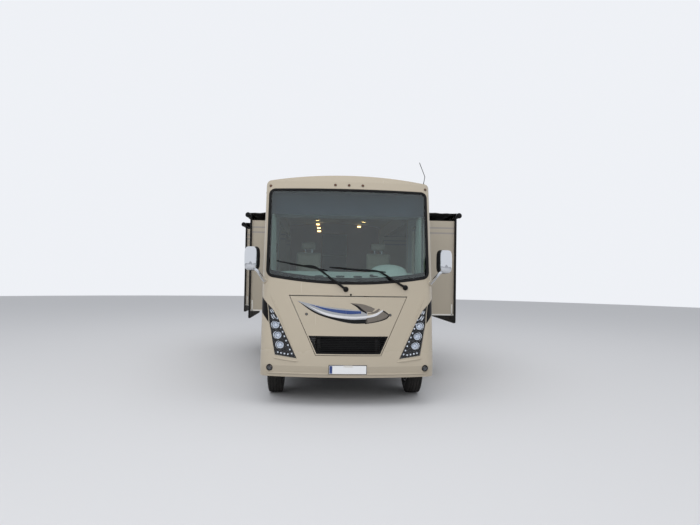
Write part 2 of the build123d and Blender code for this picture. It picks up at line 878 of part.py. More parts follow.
# Front axle: an I-beam with an upright boss at each end, which a kingpin goes through.
kingpin_half = 930
kingpin_radius = 18
boss_radius = 44
boss_half = 75
beam_middle = (axle_beam_bottom + axle_beam_top) / 2
beam_y = (front_axle_y - axle_beam_width / 2, front_axle_y + axle_beam_width / 2)
beam = box((-kingpin_half, kingpin_half), beam_y, (axle_beam_bottom, axle_beam_top))
axle_parts = []
for side in (-1, 1):
    x = side * kingpin_half
    boss_ends = [(x, front_axle_y, beam_middle + way * boss_half) for way in (-1, 1)]
    axle_parts.append(rod(*boss_ends, boss_radius))
axle_cuts = []
for way in (-1, 1):
    outer_y = front_axle_y + way * axle_beam_width
    inner_y = front_axle_y + way * (axle_beam_width / 2 - axle_web_recess)
    z_range = (axle_beam_bottom + axle_web_recess / 2, axle_beam_top - axle_web_recess / 2)
    reach = kingpin_half - 2 * boss_radius
    axle_cuts.append(box((-reach, reach), sorted((outer_y, inner_y)), z_range))
beam = cut(beam, *axle_cuts)
pin_bores = [
    rod(
        (side * kingpin_half, front_axle_y, 0),
        (side * kingpin_half, front_axle_y, 2 * tyre_radius),
        kingpin_radius + seam,
    )
    for side in (-1, 1)
]
save(cut(joined(beam, *axle_parts), *pin_bores), "front_axle")

# Steering: knuckles turn on the kingpins, and a track rod lies under their arms.
lug_height = 46
lug_reach = 82
knuckle_plate = 28
knuckle_half = 60
spindle_radius = 34.6
spindle_end = 1150
steer_arm_back = 200
steer_arm_in = 60
steer_arm_thickness = 30
steer_arm_radius = 28
rod_radius = 12
rod_eye_height = 30
upper_lug = (beam_middle + boss_half + seam, beam_middle + boss_half + seam + lug_height)
lower_lug = (beam_middle - boss_half - seam - lug_height, beam_middle - boss_half - seam)
for name, side in (("left_knuckle", 1), ("right_knuckle", -1)):
    x = side * kingpin_half
    plate_x = sorted((side * (kingpin_half + lug_reach - knuckle_plate), side * (kingpin_half + lug_reach)))
    plate_y = (front_axle_y - knuckle_half, front_axle_y + knuckle_half)
    spindle_ends = [(side * at, front_axle_y, tyre_radius) for at in (kingpin_half + lug_reach, spindle_end)]
    pieces = [
        rod((x, front_axle_y, lower_lug[0]), (x, front_axle_y, upper_lug[1]), kingpin_radius),
        box(plate_x, plate_y, (lower_lug[0], upper_lug[1])),
        rod(*spindle_ends, spindle_radius),
    ]
    for z_range in (upper_lug, lower_lug):
        pieces.append(rod((x, front_axle_y, z_range[0]), (x, front_axle_y, z_range[1]), boss_radius))
        lug_x = sorted((x, side * (kingpin_half + lug_reach)))
        pieces.append(box(lug_x, (front_axle_y - boss_radius, front_axle_y + boss_radius), z_range))
    arm_x = side * (kingpin_half - steer_arm_in)
    with BuildPart() as arm:
        with BuildSketch(Plane.XY.offset(lower_lug[0])):
            with BuildLine():
                Polyline(
                    (x - steer_arm_radius, front_axle_y),
                    (x + steer_arm_radius, front_axle_y),
                    (arm_x + steer_arm_radius, front_axle_y + steer_arm_back),
                    (arm_x - steer_arm_radius, front_axle_y + steer_arm_back),
                    close=True,
                )
            make_face()
            with Locations((arm_x, front_axle_y + steer_arm_back)):
                Circle(steer_arm_radius)
        extrude(amount=steer_arm_thickness)
    save(joined(*pieces, arm.part), name)

rod_y = front_axle_y + steer_arm_back
eye_top = lower_lug[0] - seam
eye_bottom = eye_top - rod_eye_height
rod_half = kingpin_half - steer_arm_in
rod_z = (eye_top + eye_bottom) / 2
eyes = [rod((x, rod_y, eye_bottom), (x, rod_y, eye_top), steer_arm_radius) for x in (-rod_half, rod_half)]
save(joined(rod((-rod_half, rod_y, rod_z), (rod_half, rod_y, rod_z), rod_radius), *eyes), "track_rod")

# Rear axle: a tube with a round final drive housing and a stub at each end for the twin wheels.
drive_radius = 185
drive_half = 130
drive_chamfer = 45
drive_nose = 240
nose_radius = 62
rear_stub_radius = 44.6
rear_stub_end = 1050
rear_tube_half = 690
mount_face = (rear_outer_half + rear_inner_half) / 2


def across_axle(half, radius):
    """A round bar along the rear axle's line, half to each side."""
    return rod((-half, rear_axle_y, tyre_radius), (half, rear_axle_y, tyre_radius), radius)


with BuildPart() as drive:
    with BuildSketch(across(rear_axle_y - drive_half)):
        with Locations((0, tyre_radius)):
            Circle(drive_radius)
    extrude(amount=-2 * drive_half)
    chamfer(drive.edges().filter_by(GeomType.CIRCLE), drive_chamfer)
nose_y = rear_axle_y - drive_nose
pads = [
    box(
        (side * rail_half - spring_width / 2, side * rail_half + spring_width / 2),
        (rear_axle_y - rear_tube_radius, rear_axle_y + rear_tube_radius),
        (tyre_radius, rear_spring_bottom),
    )
    for side in (-1, 1)
]
rear_axle_parts = [
    drive.part,
    across_axle(rear_tube_half, rear_tube_radius),
    across_axle(rear_stub_end, rear_stub_radius),
    rod((0, nose_y, tyre_radius), (0, rear_axle_y, tyre_radius), nose_radius),
]
save(joined(*rear_axle_parts, *pads), "rear_axle")

# Wheels and tyres: profiles of distance along the axle and radius, turned about the axle. Tyres are plain
# rings with square shoulders.
hub_radius = 100
hub_bore = 35
rear_hub_bore = 45
hub_back = 1020
hub_face = 1160
hub_cap = 1186
hub_cap_radius = 58
disc_thickness = 14
disc_inset = 22
hand_hole_radius = 28
hand_hole_circle = 205
hand_hole_count = 8


def turned(profile, y):
    """A profile of X and radius, turned about the axle line at station y."""
    with BuildPart() as wheel:
        with BuildSketch(across(y)):
            with BuildLine():
                Polyline(*[(x, tyre_radius + radius) for x, radius in profile], close=True)
            make_face()
        revolve(axis=Axis((0, y, tyre_radius), (1, 0, 0)))
    return wheel.part


def tyre(center, y):
    """One tyre about the axle line, its middle at center."""
    inner, outer = center - tyre_width / 2, center + tyre_width / 2
    bead = rim_radius + seam
    return turned([(inner, bead), (outer, bead), (outer, tyre_radius), (inner, tyre_radius)], y)


def hand_holes(x_range, y):
    """A ring of round holes through a wheel's disc."""
    with BuildPart() as holes:
        with BuildSketch(beside(x_range[0])):
            with Locations((y, tyre_radius)):
                with PolarLocations(hand_hole_circle, hand_hole_count):
                    Circle(hand_hole_radius)
        extrude(amount=x_range[1] - x_range[0])
    return holes.part


half_rim = rim_width / 2
barrel_inner = rim_radius - rim_wall
outer_edge = front_track_half + half_rim
inner_edge = front_track_half - half_rim
spindle_face = spindle_end + 2 * seam
front_rim_profile = [
    # X, radius: round the hub, then out along the disc, round the barrel and back
    (hub_back, hub_bore),
    (spindle_face, hub_bore),
    (spindle_face, 0),
    (hub_cap, 0),
    (hub_cap, hub_cap_radius),
    (hub_face, hub_cap_radius),
    (hub_face, barrel_inner),
    (outer_edge, barrel_inner),
    (outer_edge, rim_radius),
    (inner_edge, rim_radius),
    (inner_edge, barrel_inner),
    (hub_face - disc_thickness, barrel_inner),
    (hub_face - disc_thickness, hub_radius),
    (hub_back, hub_radius),
]
front_holes = hand_holes((hub_face - 2 * disc_thickness, hub_cap), front_axle_y)
front_rim = cut(turned(front_rim_profile, front_axle_y), front_holes)
front_tyre = tyre(front_track_half, front_axle_y)
save(front_rim, "front_left_rim")
save(front_tyre, "front_left_tyre")
save(flipped(front_rim), "front_right_rim")
save(flipped(front_tyre), "front_right_tyre")

rear_hub_back = mount_face - 70
rear_hub_face = mount_face + 90
disc_root = 170
rear_outer_edge = rear_outer_half + half_rim
rear_inner_edge = rear_inner_half - half_rim
middle_edges = (rear_inner_half + half_rim, rear_outer_half - half_rim)
rear_spindle_face = rear_stub_end + 2 * seam
rear_rim_profile = [
    # X, radius: round the hub, then the outer barrel, the two discs, and the inner barrel
    (rear_hub_back, rear_hub_bore),
    (rear_spindle_face, rear_hub_bore),
    (rear_spindle_face, 0),
    (rear_stub_end + disc_inset, 0),
    (rear_stub_end + disc_inset, hub_cap_radius),
    (rear_hub_face, hub_cap_radius),
    (rear_hub_face, hub_radius),
    (mount_face + disc_thickness, hub_radius),
    (mount_face + disc_thickness, disc_root),
    (middle_edges[1] + disc_inset, barrel_inner),
    (rear_outer_edge, barrel_inner),
    (rear_outer_edge, rim_radius),
    (middle_edges[1], rim_radius),
    (middle_edges[1], barrel_inner),
    (mount_face, disc_root + disc_thickness),
    (middle_edges[0], barrel_inner),
    (middle_edges[0], rim_radius),
    (rear_inner_edge, rim_radius),
    (rear_inner_edge, barrel_inner),
    (middle_edges[0] - disc_inset, barrel_inner),
    (mount_face - disc_thickness, disc_root),
    (mount_face - disc_thickness, hub_radius),
    (rear_hub_back, hub_radius),
]
rear_holes = hand_holes((rear_inner_edge, rear_outer_edge), rear_axle_y)
rear_rim = cut(turned(rear_rim_profile, rear_axle_y), rear_holes)
rear_tyres = joined(tyre(rear_outer_half, rear_axle_y), tyre(rear_inner_half, rear_axle_y))
save(rear_rim, "rear_left_rims")
save(rear_tyres, "rear_left_tyres")
save(flipped(rear_rim), "rear_right_rims")
save(flipped(rear_tyres), "rear_right_tyres")

# Engine and gearbox as plain blocks on mounts that rest on the rails' lower flanges, and the drive shaft.
engine_half = 300
engine_front_station = 520
engine_back_station = 1480
engine_bottom = 540
engine_top = 940
gearbox_back_station = 2300
shaft_front_z = 700
shaft_radius = 46
joint_length = 60
mount_length = 120
mount_thickness = 30
gearbox_radius = 130
engine_y = stations(engine_front_station, engine_back_station)
engine_block = box((-engine_half, engine_half), engine_y, (engine_bottom, engine_top))
gearbox_y = stations(engine_back_station, gearbox_back_station)
gearbox_ends = [(0, at, shaft_front_z) for at in gearbox_y]
gearbox = rod(*gearbox_ends, 1.5 * gearbox_radius, gearbox_radius)
flange_top = rail_bottom + rail_web
MOUNTS = [
    # station of the middle, reach of the block to each side
    ((engine_front_station + engine_back_station) / 2, engine_half),
    (gearbox_back_station - 2 * joint_length, 0),
]
mounts = []
for at, reach in MOUNTS:
    y_range = stations(at - mount_length / 2, at + mount_length / 2)
    mounts.append(box((-rail_half, -reach / 2), y_range, (flange_top, flange_top + mount_thickness)))
    mounts.append(box((reach / 2, rail_half), y_range, (flange_top, flange_top + mount_thickness)))
save(joined(engine_block, gearbox, *mounts), "engine")

shaft_start = (0, gearbox_y[1] + joint_length, shaft_front_z)
shaft_end = (0, nose_y - joint_length, tyre_radius)
prop_parts = [
    rod((0, gearbox_y[1], shaft_front_z), shaft_start, shaft_radius),
    rod(shaft_start, shaft_end, shaft_radius * 0.8),
    rod(shaft_end, (0, nose_y, tyre_radius), shaft_radius),
]
save(joined(*prop_parts), "prop_shaft")

# Tanks hung from the joists behind the rear axle: fuel between the rails, waste at the left and gas at the
# right.
tank_bottom = 520
tank_radius = 60
tank_front_station = 7610
tank_back_station = 8600
gas_radius = 175
gas_x = -800
gas_z = 720
gas_front_station = 7640
gas_back_station = 8560
GAS_FEET = (7700, 8450)
waste_back_station = 9060
pipe_x = 290
pipe_radius = 38
pipe_bore_radius = 35
outlet_radius = 44.5
outlet_bore = 76
outlet_reach = 60
TANKS = [
    # X range, rear station
    ((-rail_inner + sheet, pipe_x - pipe_radius - sheet), tank_back_station),
    ((rail_outer + 2 * sheet, inner_half - 4 * sheet), waste_back_station),
]
tank_parts = []
for x_range, back_station in TANKS:
    with BuildPart() as tank:
        with BuildSketch(across(front + tank_front_station)):
            with Locations((sum(x_range) / 2, (tank_bottom + rail_top) / 2)):
                RectangleRounded(x_range[1] - x_range[0], rail_top - tank_bottom, tank_radius)
        extrude(amount=tank_front_station - back_station)
    tank_parts.append(tank.part)
gas_y = stations(gas_front_station, gas_back_station)
with BuildPart() as gas_tank:
    with BuildSketch(across(gas_y[0])):
        with Locations((gas_x, gas_z)):
            Circle(gas_radius)
    extrude(amount=gas_y[0] - gas_y[1])
    chamfer(gas_tank.edges().filter_by(GeomType.CIRCLE), gas_radius / 3)
gas_feet = []
for at in GAS_FEET:
    foot_y = stations(at - joist_width / 2, at + joist_width / 2)
    gas_feet.append(box((gas_x - tank_radius, gas_x + tank_radius), foot_y, (gas_z, rail_top)))
outlet_x = (sum(TANKS[1][0])) / 2
outlet_y = front + tank_front_station + outlet_reach * 3
outlet = cut(
    rod((outlet_x, outlet_y, tank_bottom), (outlet_x, outlet_y, tank_bottom - outlet_reach), outlet_radius),
    rod((outlet_x, outlet_y, tank_bottom), (outlet_x, outlet_y, tank_bottom - outlet_reach), outlet_bore / 2),
)
save(joined(*tank_parts, gas_tank.part, *gas_feet, outlet), "tanks")

# Exhaust: a pipe and silencer along the left rail, bent down under the hitch beam to the rear.
pipe_z = 650
pipe_bend = 160
dip_stations = (8750, 9150)
silencer_radius = 90
silencer_stations = (3900, 5100)
HANGER_STATIONS = (2750, 5600, 8700)
tail_z = 350
pipe_start = front + engine_back_station + joint_length
exhaust_pipe = bent_bar(
    [
        (pipe_x, pipe_start, pipe_z),
        (pipe_x, front + dip_stations[0], pipe_z),
        (pipe_x, front + dip_stations[1], tail_z),
        (pipe_x, body_back - sheet, tail_z),
    ],
    pipe_radius,
    pipe_bend,
)
silencer_y = stations(*silencer_stations)
silencer = rod((pipe_x, silencer_y[0], pipe_z), (pipe_x, silencer_y[1], pipe_z), silencer_radius)
hangers = []
for at in HANGER_STATIONS:
    y_range = stations(at, at + 2 * sheet)
    hangers.append(box((pipe_x - sheet, pipe_x + sheet), y_range, (pipe_z, rail_bottom)))
    hangers.append(box((pipe_x - sheet, rail_half), y_range, (rail_bottom - sheet, rail_bottom)))
tail_bore = rod(
    (pipe_x, body_back - outlet_reach * 2, tail_z), (pipe_x, body_back, tail_z), pipe_bore_radius
)
save(cut(joined(exhaust_pipe, silencer, *hangers), tail_bore), "exhaust")

# Storage lockers behind the bay doors: open boxes hung under the joists.
locker_depth = 640
locker_bottom = skirt_height + seam
lockers = []
for name, side, start, end in BAYS:
    x_range = (side * (inner_half - locker_depth), side * inner_half)
    outer_box = box(x_range, stations(start, end, door_gap + sheet), (locker_bottom, rail_top))
    inner_x = (side * (inner_half - locker_depth + sheet), side * (inner_half + sheet))
    inner_box = box(inner_x, stations(start, end, door_gap), (locker_bottom + sheet, rail_top - sheet))
    lockers.append(cut(outer_box, inner_box))
save(joined(*lockers), "lockers")

# Entry steps: two treads and their risers below the floor, between two cheeks.
STEPS = [
    # distance of the riser from the wall, height of the tread below it
    (step_depth, 830),
    (step_depth / 2, 590),
]
step_sheet = 20
step_parts = []
riser_top = floor_bottom
for reach, tread in STEPS:
    riser_x = -inner_half + reach
    tread_x = (riser_x - step_depth / 2, riser_x + step_sheet)
    step_parts.append(box((riser_x, riser_x + step_sheet), step_y, (tread, riser_top)))
    step_parts.append(box(tread_x, step_y, (tread, tread + step_sheet)))
    riser_top = tread + step_sheet
for edge in (step_y[0], step_y[1] - step_sheet):
    with BuildPart() as cheek:
        with BuildSketch(across(edge)):
            with BuildLine():
                Polyline(
                    (-inner_half, STEPS[1][1]),
                    (-inner_half + step_depth / 2, STEPS[1][1]),
                    (-inner_half + step_depth, STEPS[0][1]),
                    (-inner_half + step_depth + step_sheet, floor_bottom),
                    (-inner_half, floor_bottom),
                    close=True,
                )
            make_face()
        extrude(amount=-step_sheet)
    step_parts.append(cheek.part)
save(joined(*step_parts), "entry_steps")

# Cab: a dash that follows the mask's inner face, with an instrument pod ahead of the wheel.
dash_half = 1190
DASH_PROFILE = [
    # station, height
    (90, firewall_top),
    (90, 1690),
    (640, 1680),
    (860, 1610),
    (900, 1520),
    (780, 1330),
    (620, 1240),
    (620, floor_top),
    (firewall_station + sheet, floor_top),
    (firewall_station + sheet, firewall_top),
]
pod_x = 630
pod_half = 260
pod_top = 1960
pod_stations = (600, 850)
wheel_center = (pod_x, front + 1045, 1830)
wheel_ring = 225
wheel_tube = 17
column_radius = 34
column_length = 280
horn_radius = 62
spoke_width = 32
hub_drop = 30
hub_thickness = 24
dash_form = plate([(front + at, z) for at, z in DASH_PROFILE], (-dash_half, dash_half))
dash = cut(shared(skin[dash_clearance], dash_form), *hinge_pockets)
pod_y = stations(*pod_stations)
with BuildPart() as pod:
    with BuildSketch(across(pod_y[0])):
        with BuildLine():
            Polyline((pod_x - pod_half, 1600), (pod_x + pod_half, 1600), (pod_x + pod_half, 1700))
            ThreePointArc((pod_x + pod_half, 1700), (pod_x, pod_top), (pod_x - pod_half, 1700))
            Line((pod_x - pod_half, 1700), (pod_x - pod_half, 1600))
        make_face()
    extrude(amount=pod_y[0] - pod_y[1])
save(joined(dash, pod.part), "dashboard")

wheel_axis = Vector(0, 1, 1).normalized()
hub_point = Vector(*wheel_center)
hub_back_point = hub_point - wheel_axis * hub_drop
with BuildPart() as steering_wheel:
    with BuildSketch(Plane(origin=wheel_center, x_dir=(1, 0, 0), z_dir=(0, 1, -1))):
        with Locations((wheel_ring, 0)):
            RegularPolygon(wheel_tube, 8, major_radius=False, rotation=22.5)
    revolve(axis=Axis(wheel_center, tuple(wheel_axis)))
with BuildPart() as wheel_hub:
    with BuildSketch(Plane(origin=tuple(hub_back_point), x_dir=(1, 0, 0), z_dir=tuple(wheel_axis))):
        Circle(horn_radius)
        Rectangle(2 * wheel_ring, spoke_width)
        with Locations((0, -wheel_ring / 2)):
            Rectangle(spoke_width, wheel_ring)
    extrude(amount=hub_thickness)
column_end = hub_point - wheel_axis * column_length
column = rod(tuple(column_end), tuple(hub_back_point), column_radius)
column = cut(column, dash, pod.part)
save(joined(steering_wheel.part, wheel_hub.part, column), "steering_wheel")

# Cab seats: a cushion on a pedestal, a back that leans to the rear, a headrest, and an arm on each side.
SEAT_X = (-620, 620)
seat_station = 1330
seat_depth = 520
seat_half = 260
seat_height = 1560
seat_round = 50
cushion = 130
back_lean = 110
back_taper = 40
back_depths = (130, 110)
back_top = 2290
head_top = 2450
head_half = 140
head_depth = 90
pedestal_half = 150
pedestal_stations = (1430, 1730)
seat_arm_width = 60
seat_arm_height = 110
seat_arm_thickness = 50
arm_stations = (1450, 1850)
post_length = 60
seats = []
for x in SEAT_X:
    back_y = front + seat_station + seat_depth
    pedestal_x = (x - pedestal_half, x + pedestal_half)
    with BuildPart() as seat:
        add(box(pedestal_x, stations(*pedestal_stations), (floor_top, seat_height - cushion)))
        with BuildSketch(Plane.XY.offset(seat_height - cushion)):
            with Locations((x, back_y - seat_depth / 2)):
                RectangleRounded(2 * seat_half, seat_depth, seat_round)
        extrude(amount=cushion)
    with BuildPart() as back:
        with BuildSketch(Plane.XY.offset(seat_height - cushion / 2)):
            with Locations((x, back_y)):
                RectangleRounded(2 * seat_half, back_depths[0], seat_round)
        with BuildSketch(Plane.XY.offset(back_top)):
            with Locations((x, back_y + back_lean)):
                RectangleRounded(2 * (seat_half - back_taper), back_depths[1], seat_round)
        loft(ruled=True)
    head_y = (back_y + back_lean - head_depth / 2, back_y + back_lean + head_depth / 2)
    headrest = box((x - head_half, x + head_half), head_y, (back_top, head_top))
    rests = []
    for way in (-1, 1):
        arm_x = sorted((x + way * seat_half, x + way * (seat_half + seat_arm_width)))
        arm_z = (seat_height + seat_arm_height, seat_height + seat_arm_height + seat_arm_thickness)
        rests.append(box(arm_x, stations(*arm_stations), arm_z))
        post_inner, post_outer = seat_half - seat_arm_thickness, seat_half + seat_arm_width / 2
        post_x = sorted((x + way * post_inner, x + way * post_outer))
        post_z = (seat_height - cushion / 2, arm_z[0])
        rests.append(box(post_x, stations(arm_stations[1] - post_length, arm_stations[1]), post_z))
    seats.append(joined(seat.part, back.part, headrest, *rests))
save(joined(*seats), "cab_seats")

# Interior panels: a cupboard over the windscreen and a bulkhead ahead of the rear bedroom.
cupboard_half = 1190
cupboard_stations = (820, 1290)
cupboard_bottom = 2800
bulkhead_station = 7080
doorway_half = 330
doorway_top = 3000
panel_thickness = 30
ceiling = roof_edge_height - roof_thickness
cupboard = box((-inner_half, inner_half), stations(*cupboard_stations), (cupboard_bottom, wall_top))
cupboard = shared(cupboard, body_form(wall_thickness + seam, roof_thickness, front, wall_back))
bulkhead_y = stations(bulkhead_station, bulkhead_station + panel_thickness)
bulkhead = cut(
    shared(
        box((-inner_half, inner_half), bulkhead_y, (floor_top, roof_crown_height)),
        body_form(wall_thickness, roof_thickness, front, wall_back),
    ),
    box((-doorway_half, doorway_half), bulkhead_y, (floor_top, doorway_top)),
)
save(joined(cupboard, bulkhead), "interior_panels")

# Mirrors: a tall rounded head on an arm from a foot on each front corner.
mirror_x = 1410
mirror_half = 110
mirror_low = 1905
mirror_high = 2260
mirror_station = 130
mirror_depth = 130
mirror_edge = 36
mirror_arm_radius = 24
mirror_foot = (1235, 1760)
mirror_foot_radius = 42
with BuildPart() as mirror_head:
    with BuildSketch(across(front + mirror_station)):
        with Locations((mirror_x, (mirror_low + mirror_high) / 2)):
            RectangleRounded(2 * mirror_half, mirror_high - mirror_low, 80)
    extrude(amount=-mirror_depth)
    chamfer(mirror_head.faces().sort_by(Axis.Y)[0].edges(), mirror_edge)
foot_x, foot_z = mirror_foot
foot_y = on_skin(foot_x, foot_z)
arm_start = (foot_x, foot_y + mirror_foot_radius, foot_z)
arm_end = (mirror_x - mirror_half / 2, front + mirror_station + mirror_depth / 2, mirror_low + mirror_edge)
foot = rod((foot_x, foot_y - 1.5 * mirror_foot_radius, foot_z), arm_start, mirror_foot_radius)
arm_bar = rod((foot_x, foot_y - mirror_foot_radius, foot_z), arm_end, mirror_arm_radius)
mirror_set = joined(mirror_head.part, cut(joined(foot, arm_bar), skin[0]))
save(joined(mirror_set, flipped(mirror_set)), "mirrors")

# Wipers: an arm with a knee from each pivot below the screen, and a blade that follows the glass.
WIPERS = [
    # pivot, knee, blade's two ends, each in X and Z
    ((-44, 1652), (-490, 1971), (-1066, 2058), (-314, 1922)),
    ((841, 1688), (438, 1921), (-287, 1974), (546, 1914)),
]
arm_radius_at_pivot = 9
arm_radius_at_blade = 6
blade_radius = 7.5
wiper_boss_radius = 22
blade_lift = 9
arm_lift = 30
wipers = []
for pivot, knee, blade_start, blade_end in WIPERS:
    middle = ((blade_start[0] + blade_end[0]) / 2, (blade_start[1] + blade_end[1]) / 2)
    pivot_at, knee_at, middle_at, start_at, end_at = [
        (x, on_skin(x, z) - lift, z)
        for (x, z), lift in (
            (pivot, arm_lift),
            (knee, arm_lift),
            (middle, blade_lift + blade_radius),
            (blade_start, blade_lift),
            (blade_end, blade_lift),
        )
    ]
    x, y, z = pivot_at
    boss = cut(rod((x, y - arm_radius_at_pivot, z), (x, y + 2 * arm_lift, z), wiper_boss_radius), skin[0])
    wipers.append(
        joined(
            boss,
            rod(pivot_at, knee_at, arm_radius_at_pivot),
            rod(knee_at, middle_at, arm_radius_at_blade),
            rod(start_at, middle_at, blade_radius),
            rod(middle_at, end_at, blade_radius * 0.9),
        )
    )
save(joined(*wipers), "wipers")

# Ladder on the rear cap: two rails that hook over the roof, rungs between them and stand-offs to the body.
ladder_x = -760
ladder_half = 190
ladder_tube = 13
rung_tube = 10
ladder_bottom = 950
ladder_top = 3560
ladder_out = 130
ladder_in = 420
ladder_bend = 120
rung_pitch = 300
ladder_y = body_back + ladder_out
highest_foot = roof_edge_height - 2 * roof_corner_radius
LADDER_FEET = (ladder_bottom + ladder_bend, (ladder_bottom + ladder_top) / 2, highest_foot)
ladder_parts = []
for side in (-1, 1):
    x = ladder_x + side * ladder_half
    rail_foot = roof_edge_height + sheet
    ladder_parts.append(
        bent_bar(
            [
                (x, ladder_y, ladder_bottom),
                (x, ladder_y, ladder_top),
                (x, wall_back - ladder_in, ladder_top),
                (x, wall_back - ladder_in, rail_foot),
            ],
            ladder_tube,
            ladder_bend,
        )
    )
    for z in LADDER_FEET:
        ladder_parts.append(rod((x, body_back, z), (x, ladder_y, z), rung_tube))
rung_count = int((ladder_top - ladder_bend - ladder_bottom) / rung_pitch)
for index in range(rung_count):
    z = ladder_bottom + ladder_bend / 2 + rung_pitch * index
    ends = [(ladder_x + side * ladder_half, ladder_y, z) for side in (-1, 1)]
    ladder_parts.append(rod(*ends, rung_tube))
roof_form = body_form(0, 0, front, body_back)
save(cut(joined(*ladder_parts), roof_form), "ladder")

# Roof units: two cooling units, vents, a small dome and a whip aerial, each seated on the crowned roof.
ROOF_UNITS = [
    # X, station, half length, half width, height above the crown, edge radius
    (0, 3300, 480, 350, 290, 60),
    (0, 7900, 480, 350, 290, 60),
    (450, 5600, 210, 210, 110, 30),
    (-450, 6900, 210, 210, 110, 30),
    (-500, 9000, 210, 210, 110, 30),
    (720, 1500, 90, 90, 130, 40),
]
roof_seat = 90
unit_taper = 40
units = []
for x, at, half_length, unit_half, height, edge in ROOF_UNITS:
    with BuildPart() as unit:
        with BuildSketch(Plane.XY.offset(roof_crown_height - roof_seat)):
            with Locations((x, front + at)):
                RectangleRounded(2 * unit_half, 2 * half_length, edge)
        with BuildSketch(Plane.XY.offset(roof_crown_height + height)):
            with Locations((x, front + at)):
                RectangleRounded(2 * unit_half - unit_taper, 2 * half_length - unit_taper, edge)
        loft(ruled=True)
        chamfer(unit.faces().sort_by(Axis.Z)[-1].edges(), edge / 2)
    units.append(cut(unit.part, roof_form))
AERIAL = [(1200, 3337), (1221, 3448), (1131, 3674)]
aerial_station = 810
aerial_radius = 5
aerial_points = [(x, front + aerial_station, z) for x, z in AERIAL]
aerial_foot = (AERIAL[0][0], front + aerial_station, AERIAL[0][1] - roof_corner_radius)
aerial = joined(
    rod(aerial_foot, aerial_points[0], 3 * aerial_radius, 2 * aerial_radius),
    rod(aerial_points[0], aerial_points[1], aerial_radius),
    rod(aerial_points[1], aerial_points[2], aerial_radius),
)
save(joined(*units, cut(aerial, skin[0])), "roof_units")
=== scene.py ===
import math

import bmesh
import bpy
import numpy as np
from mathutils import Matrix, Vector


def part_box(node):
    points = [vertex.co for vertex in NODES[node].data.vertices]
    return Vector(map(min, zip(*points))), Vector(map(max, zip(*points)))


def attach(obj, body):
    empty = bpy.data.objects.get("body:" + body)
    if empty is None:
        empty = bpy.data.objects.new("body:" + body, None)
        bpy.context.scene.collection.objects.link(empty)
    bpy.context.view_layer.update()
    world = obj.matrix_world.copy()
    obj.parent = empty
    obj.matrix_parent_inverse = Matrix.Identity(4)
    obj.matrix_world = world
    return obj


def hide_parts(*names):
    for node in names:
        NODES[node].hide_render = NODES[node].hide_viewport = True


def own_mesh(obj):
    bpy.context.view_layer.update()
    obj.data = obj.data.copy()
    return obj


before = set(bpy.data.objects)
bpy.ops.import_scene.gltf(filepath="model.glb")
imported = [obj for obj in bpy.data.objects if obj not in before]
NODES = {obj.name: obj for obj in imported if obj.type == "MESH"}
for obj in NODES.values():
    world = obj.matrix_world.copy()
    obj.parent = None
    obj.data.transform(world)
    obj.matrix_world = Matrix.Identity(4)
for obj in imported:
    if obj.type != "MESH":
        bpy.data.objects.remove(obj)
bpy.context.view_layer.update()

bl_info = {
    "name": "Coach dressing",
    "version": (1, 0, 0),
    "blender": (4, 5, 0),
    "location": "3D View > Sidebar > Coach",
    "description": "Finishes, fittings, cloth and a stage around the loaded frame of a touring coach",
    "category": "Object",
}

NOSE = round(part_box("front_cap")[0].y, 2)
WALL = round(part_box("rear_wall")[1].x, 2)
BACK = round(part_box("rear_wall")[1].y, 2)
SKIRT = round(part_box("left_wall")[0].z, 2)
FULL_TURN = 2 * math.pi
AFT = (0, 1, 0)

# Slide rooms: the side of each and how far it runs in.
SLIDES = {"left_slide": (1, 0.82), "right_front_slide": (-1, 0.473), "right_rear_slide": (-1, 0.82)}
FASCIA = 0.03
FASCIA_OVERLAP = 0.045
FASCIA_LOW, FASCIA_HIGH = 1.01, 2.965
ROOM_LOW, ROOM_HIGH = 1.15, 2.92
WINDOW_RADIUS = 0.06


def station(distance):
    """The Y of a place so many metres behind the nose."""
    return NOSE + distance


# Shapes: each is (points, quads, triangles), worked out as whole arrays.


def spread(x, y, z):
    """Three coordinates as points, each filled out to the shape of the others."""
    return np.stack(np.broadcast_arrays(x, y, z), -1)


def grid(points, wrap_rows=False, wrap_columns=False, caps=False):
    """A surface through rows of points. Caps close the first and last rows on their mean points."""
    rows, columns = points.shape[:2]
    row = np.arange(rows if wrap_rows else rows - 1)[:, None]
    column = np.arange(columns if wrap_columns else columns - 1)[None, :]
    below, beside = (row + 1) % rows, (column + 1) % columns
    corners = (row * columns + column, row * columns + beside, below * columns + beside, below * columns + column)
    quads = np.stack(np.broadcast_arrays(*corners), -1).reshape(-1, 4)
    flat = points.reshape(-1, 3)
    triangles = np.zeros((0, 3), int)
    if caps:
        ends = np.stack([points[0].mean(0), points[-1].mean(0)])
        count = len(flat)
        flat = np.concatenate([flat, ends])
        around = np.arange(columns)
        after = (around + 1) % columns
        last = (rows - 1) * columns
        first_fan = np.stack([after, around, np.full(columns, count)], 1)
        last_fan = np.stack([last + around, last + after, np.full(columns, count + 1)], 1)
        triangles = np.concatenate([first_fan, last_fan])
    return flat, quads, triangles


def capped(points):
    """A surface round the columns, closed at both ends."""
    return grid(points, wrap_columns=True, caps=True)


def looped(points):
    """A surface that closes on itself both ways."""
    return grid(points, wrap_rows=True, wrap_columns=True)


def angles(count):
    """So many equal steps round a full turn, in radians."""
    return np.arange(count) * FULL_TURN / count


def merged(*shapes):
    """Several shapes as one."""
    points, quads, triangles, count = [], [], [], 0
    for shape in shapes:
        points.append(shape[0])
        quads.append(shape[1] + count)
        triangles.append(shape[2] + count)
        count += len(shape[0])
    return np.concatenate(points), np.concatenate(quads), np.concatenate(triangles)


def mirrored(shape):
    """A shape's image across the coach's middle plane, its faces turned to keep facing out."""
    return shape[0] * (-1, 1, 1), shape[1][:, ::-1], shape[2][:, ::-1]


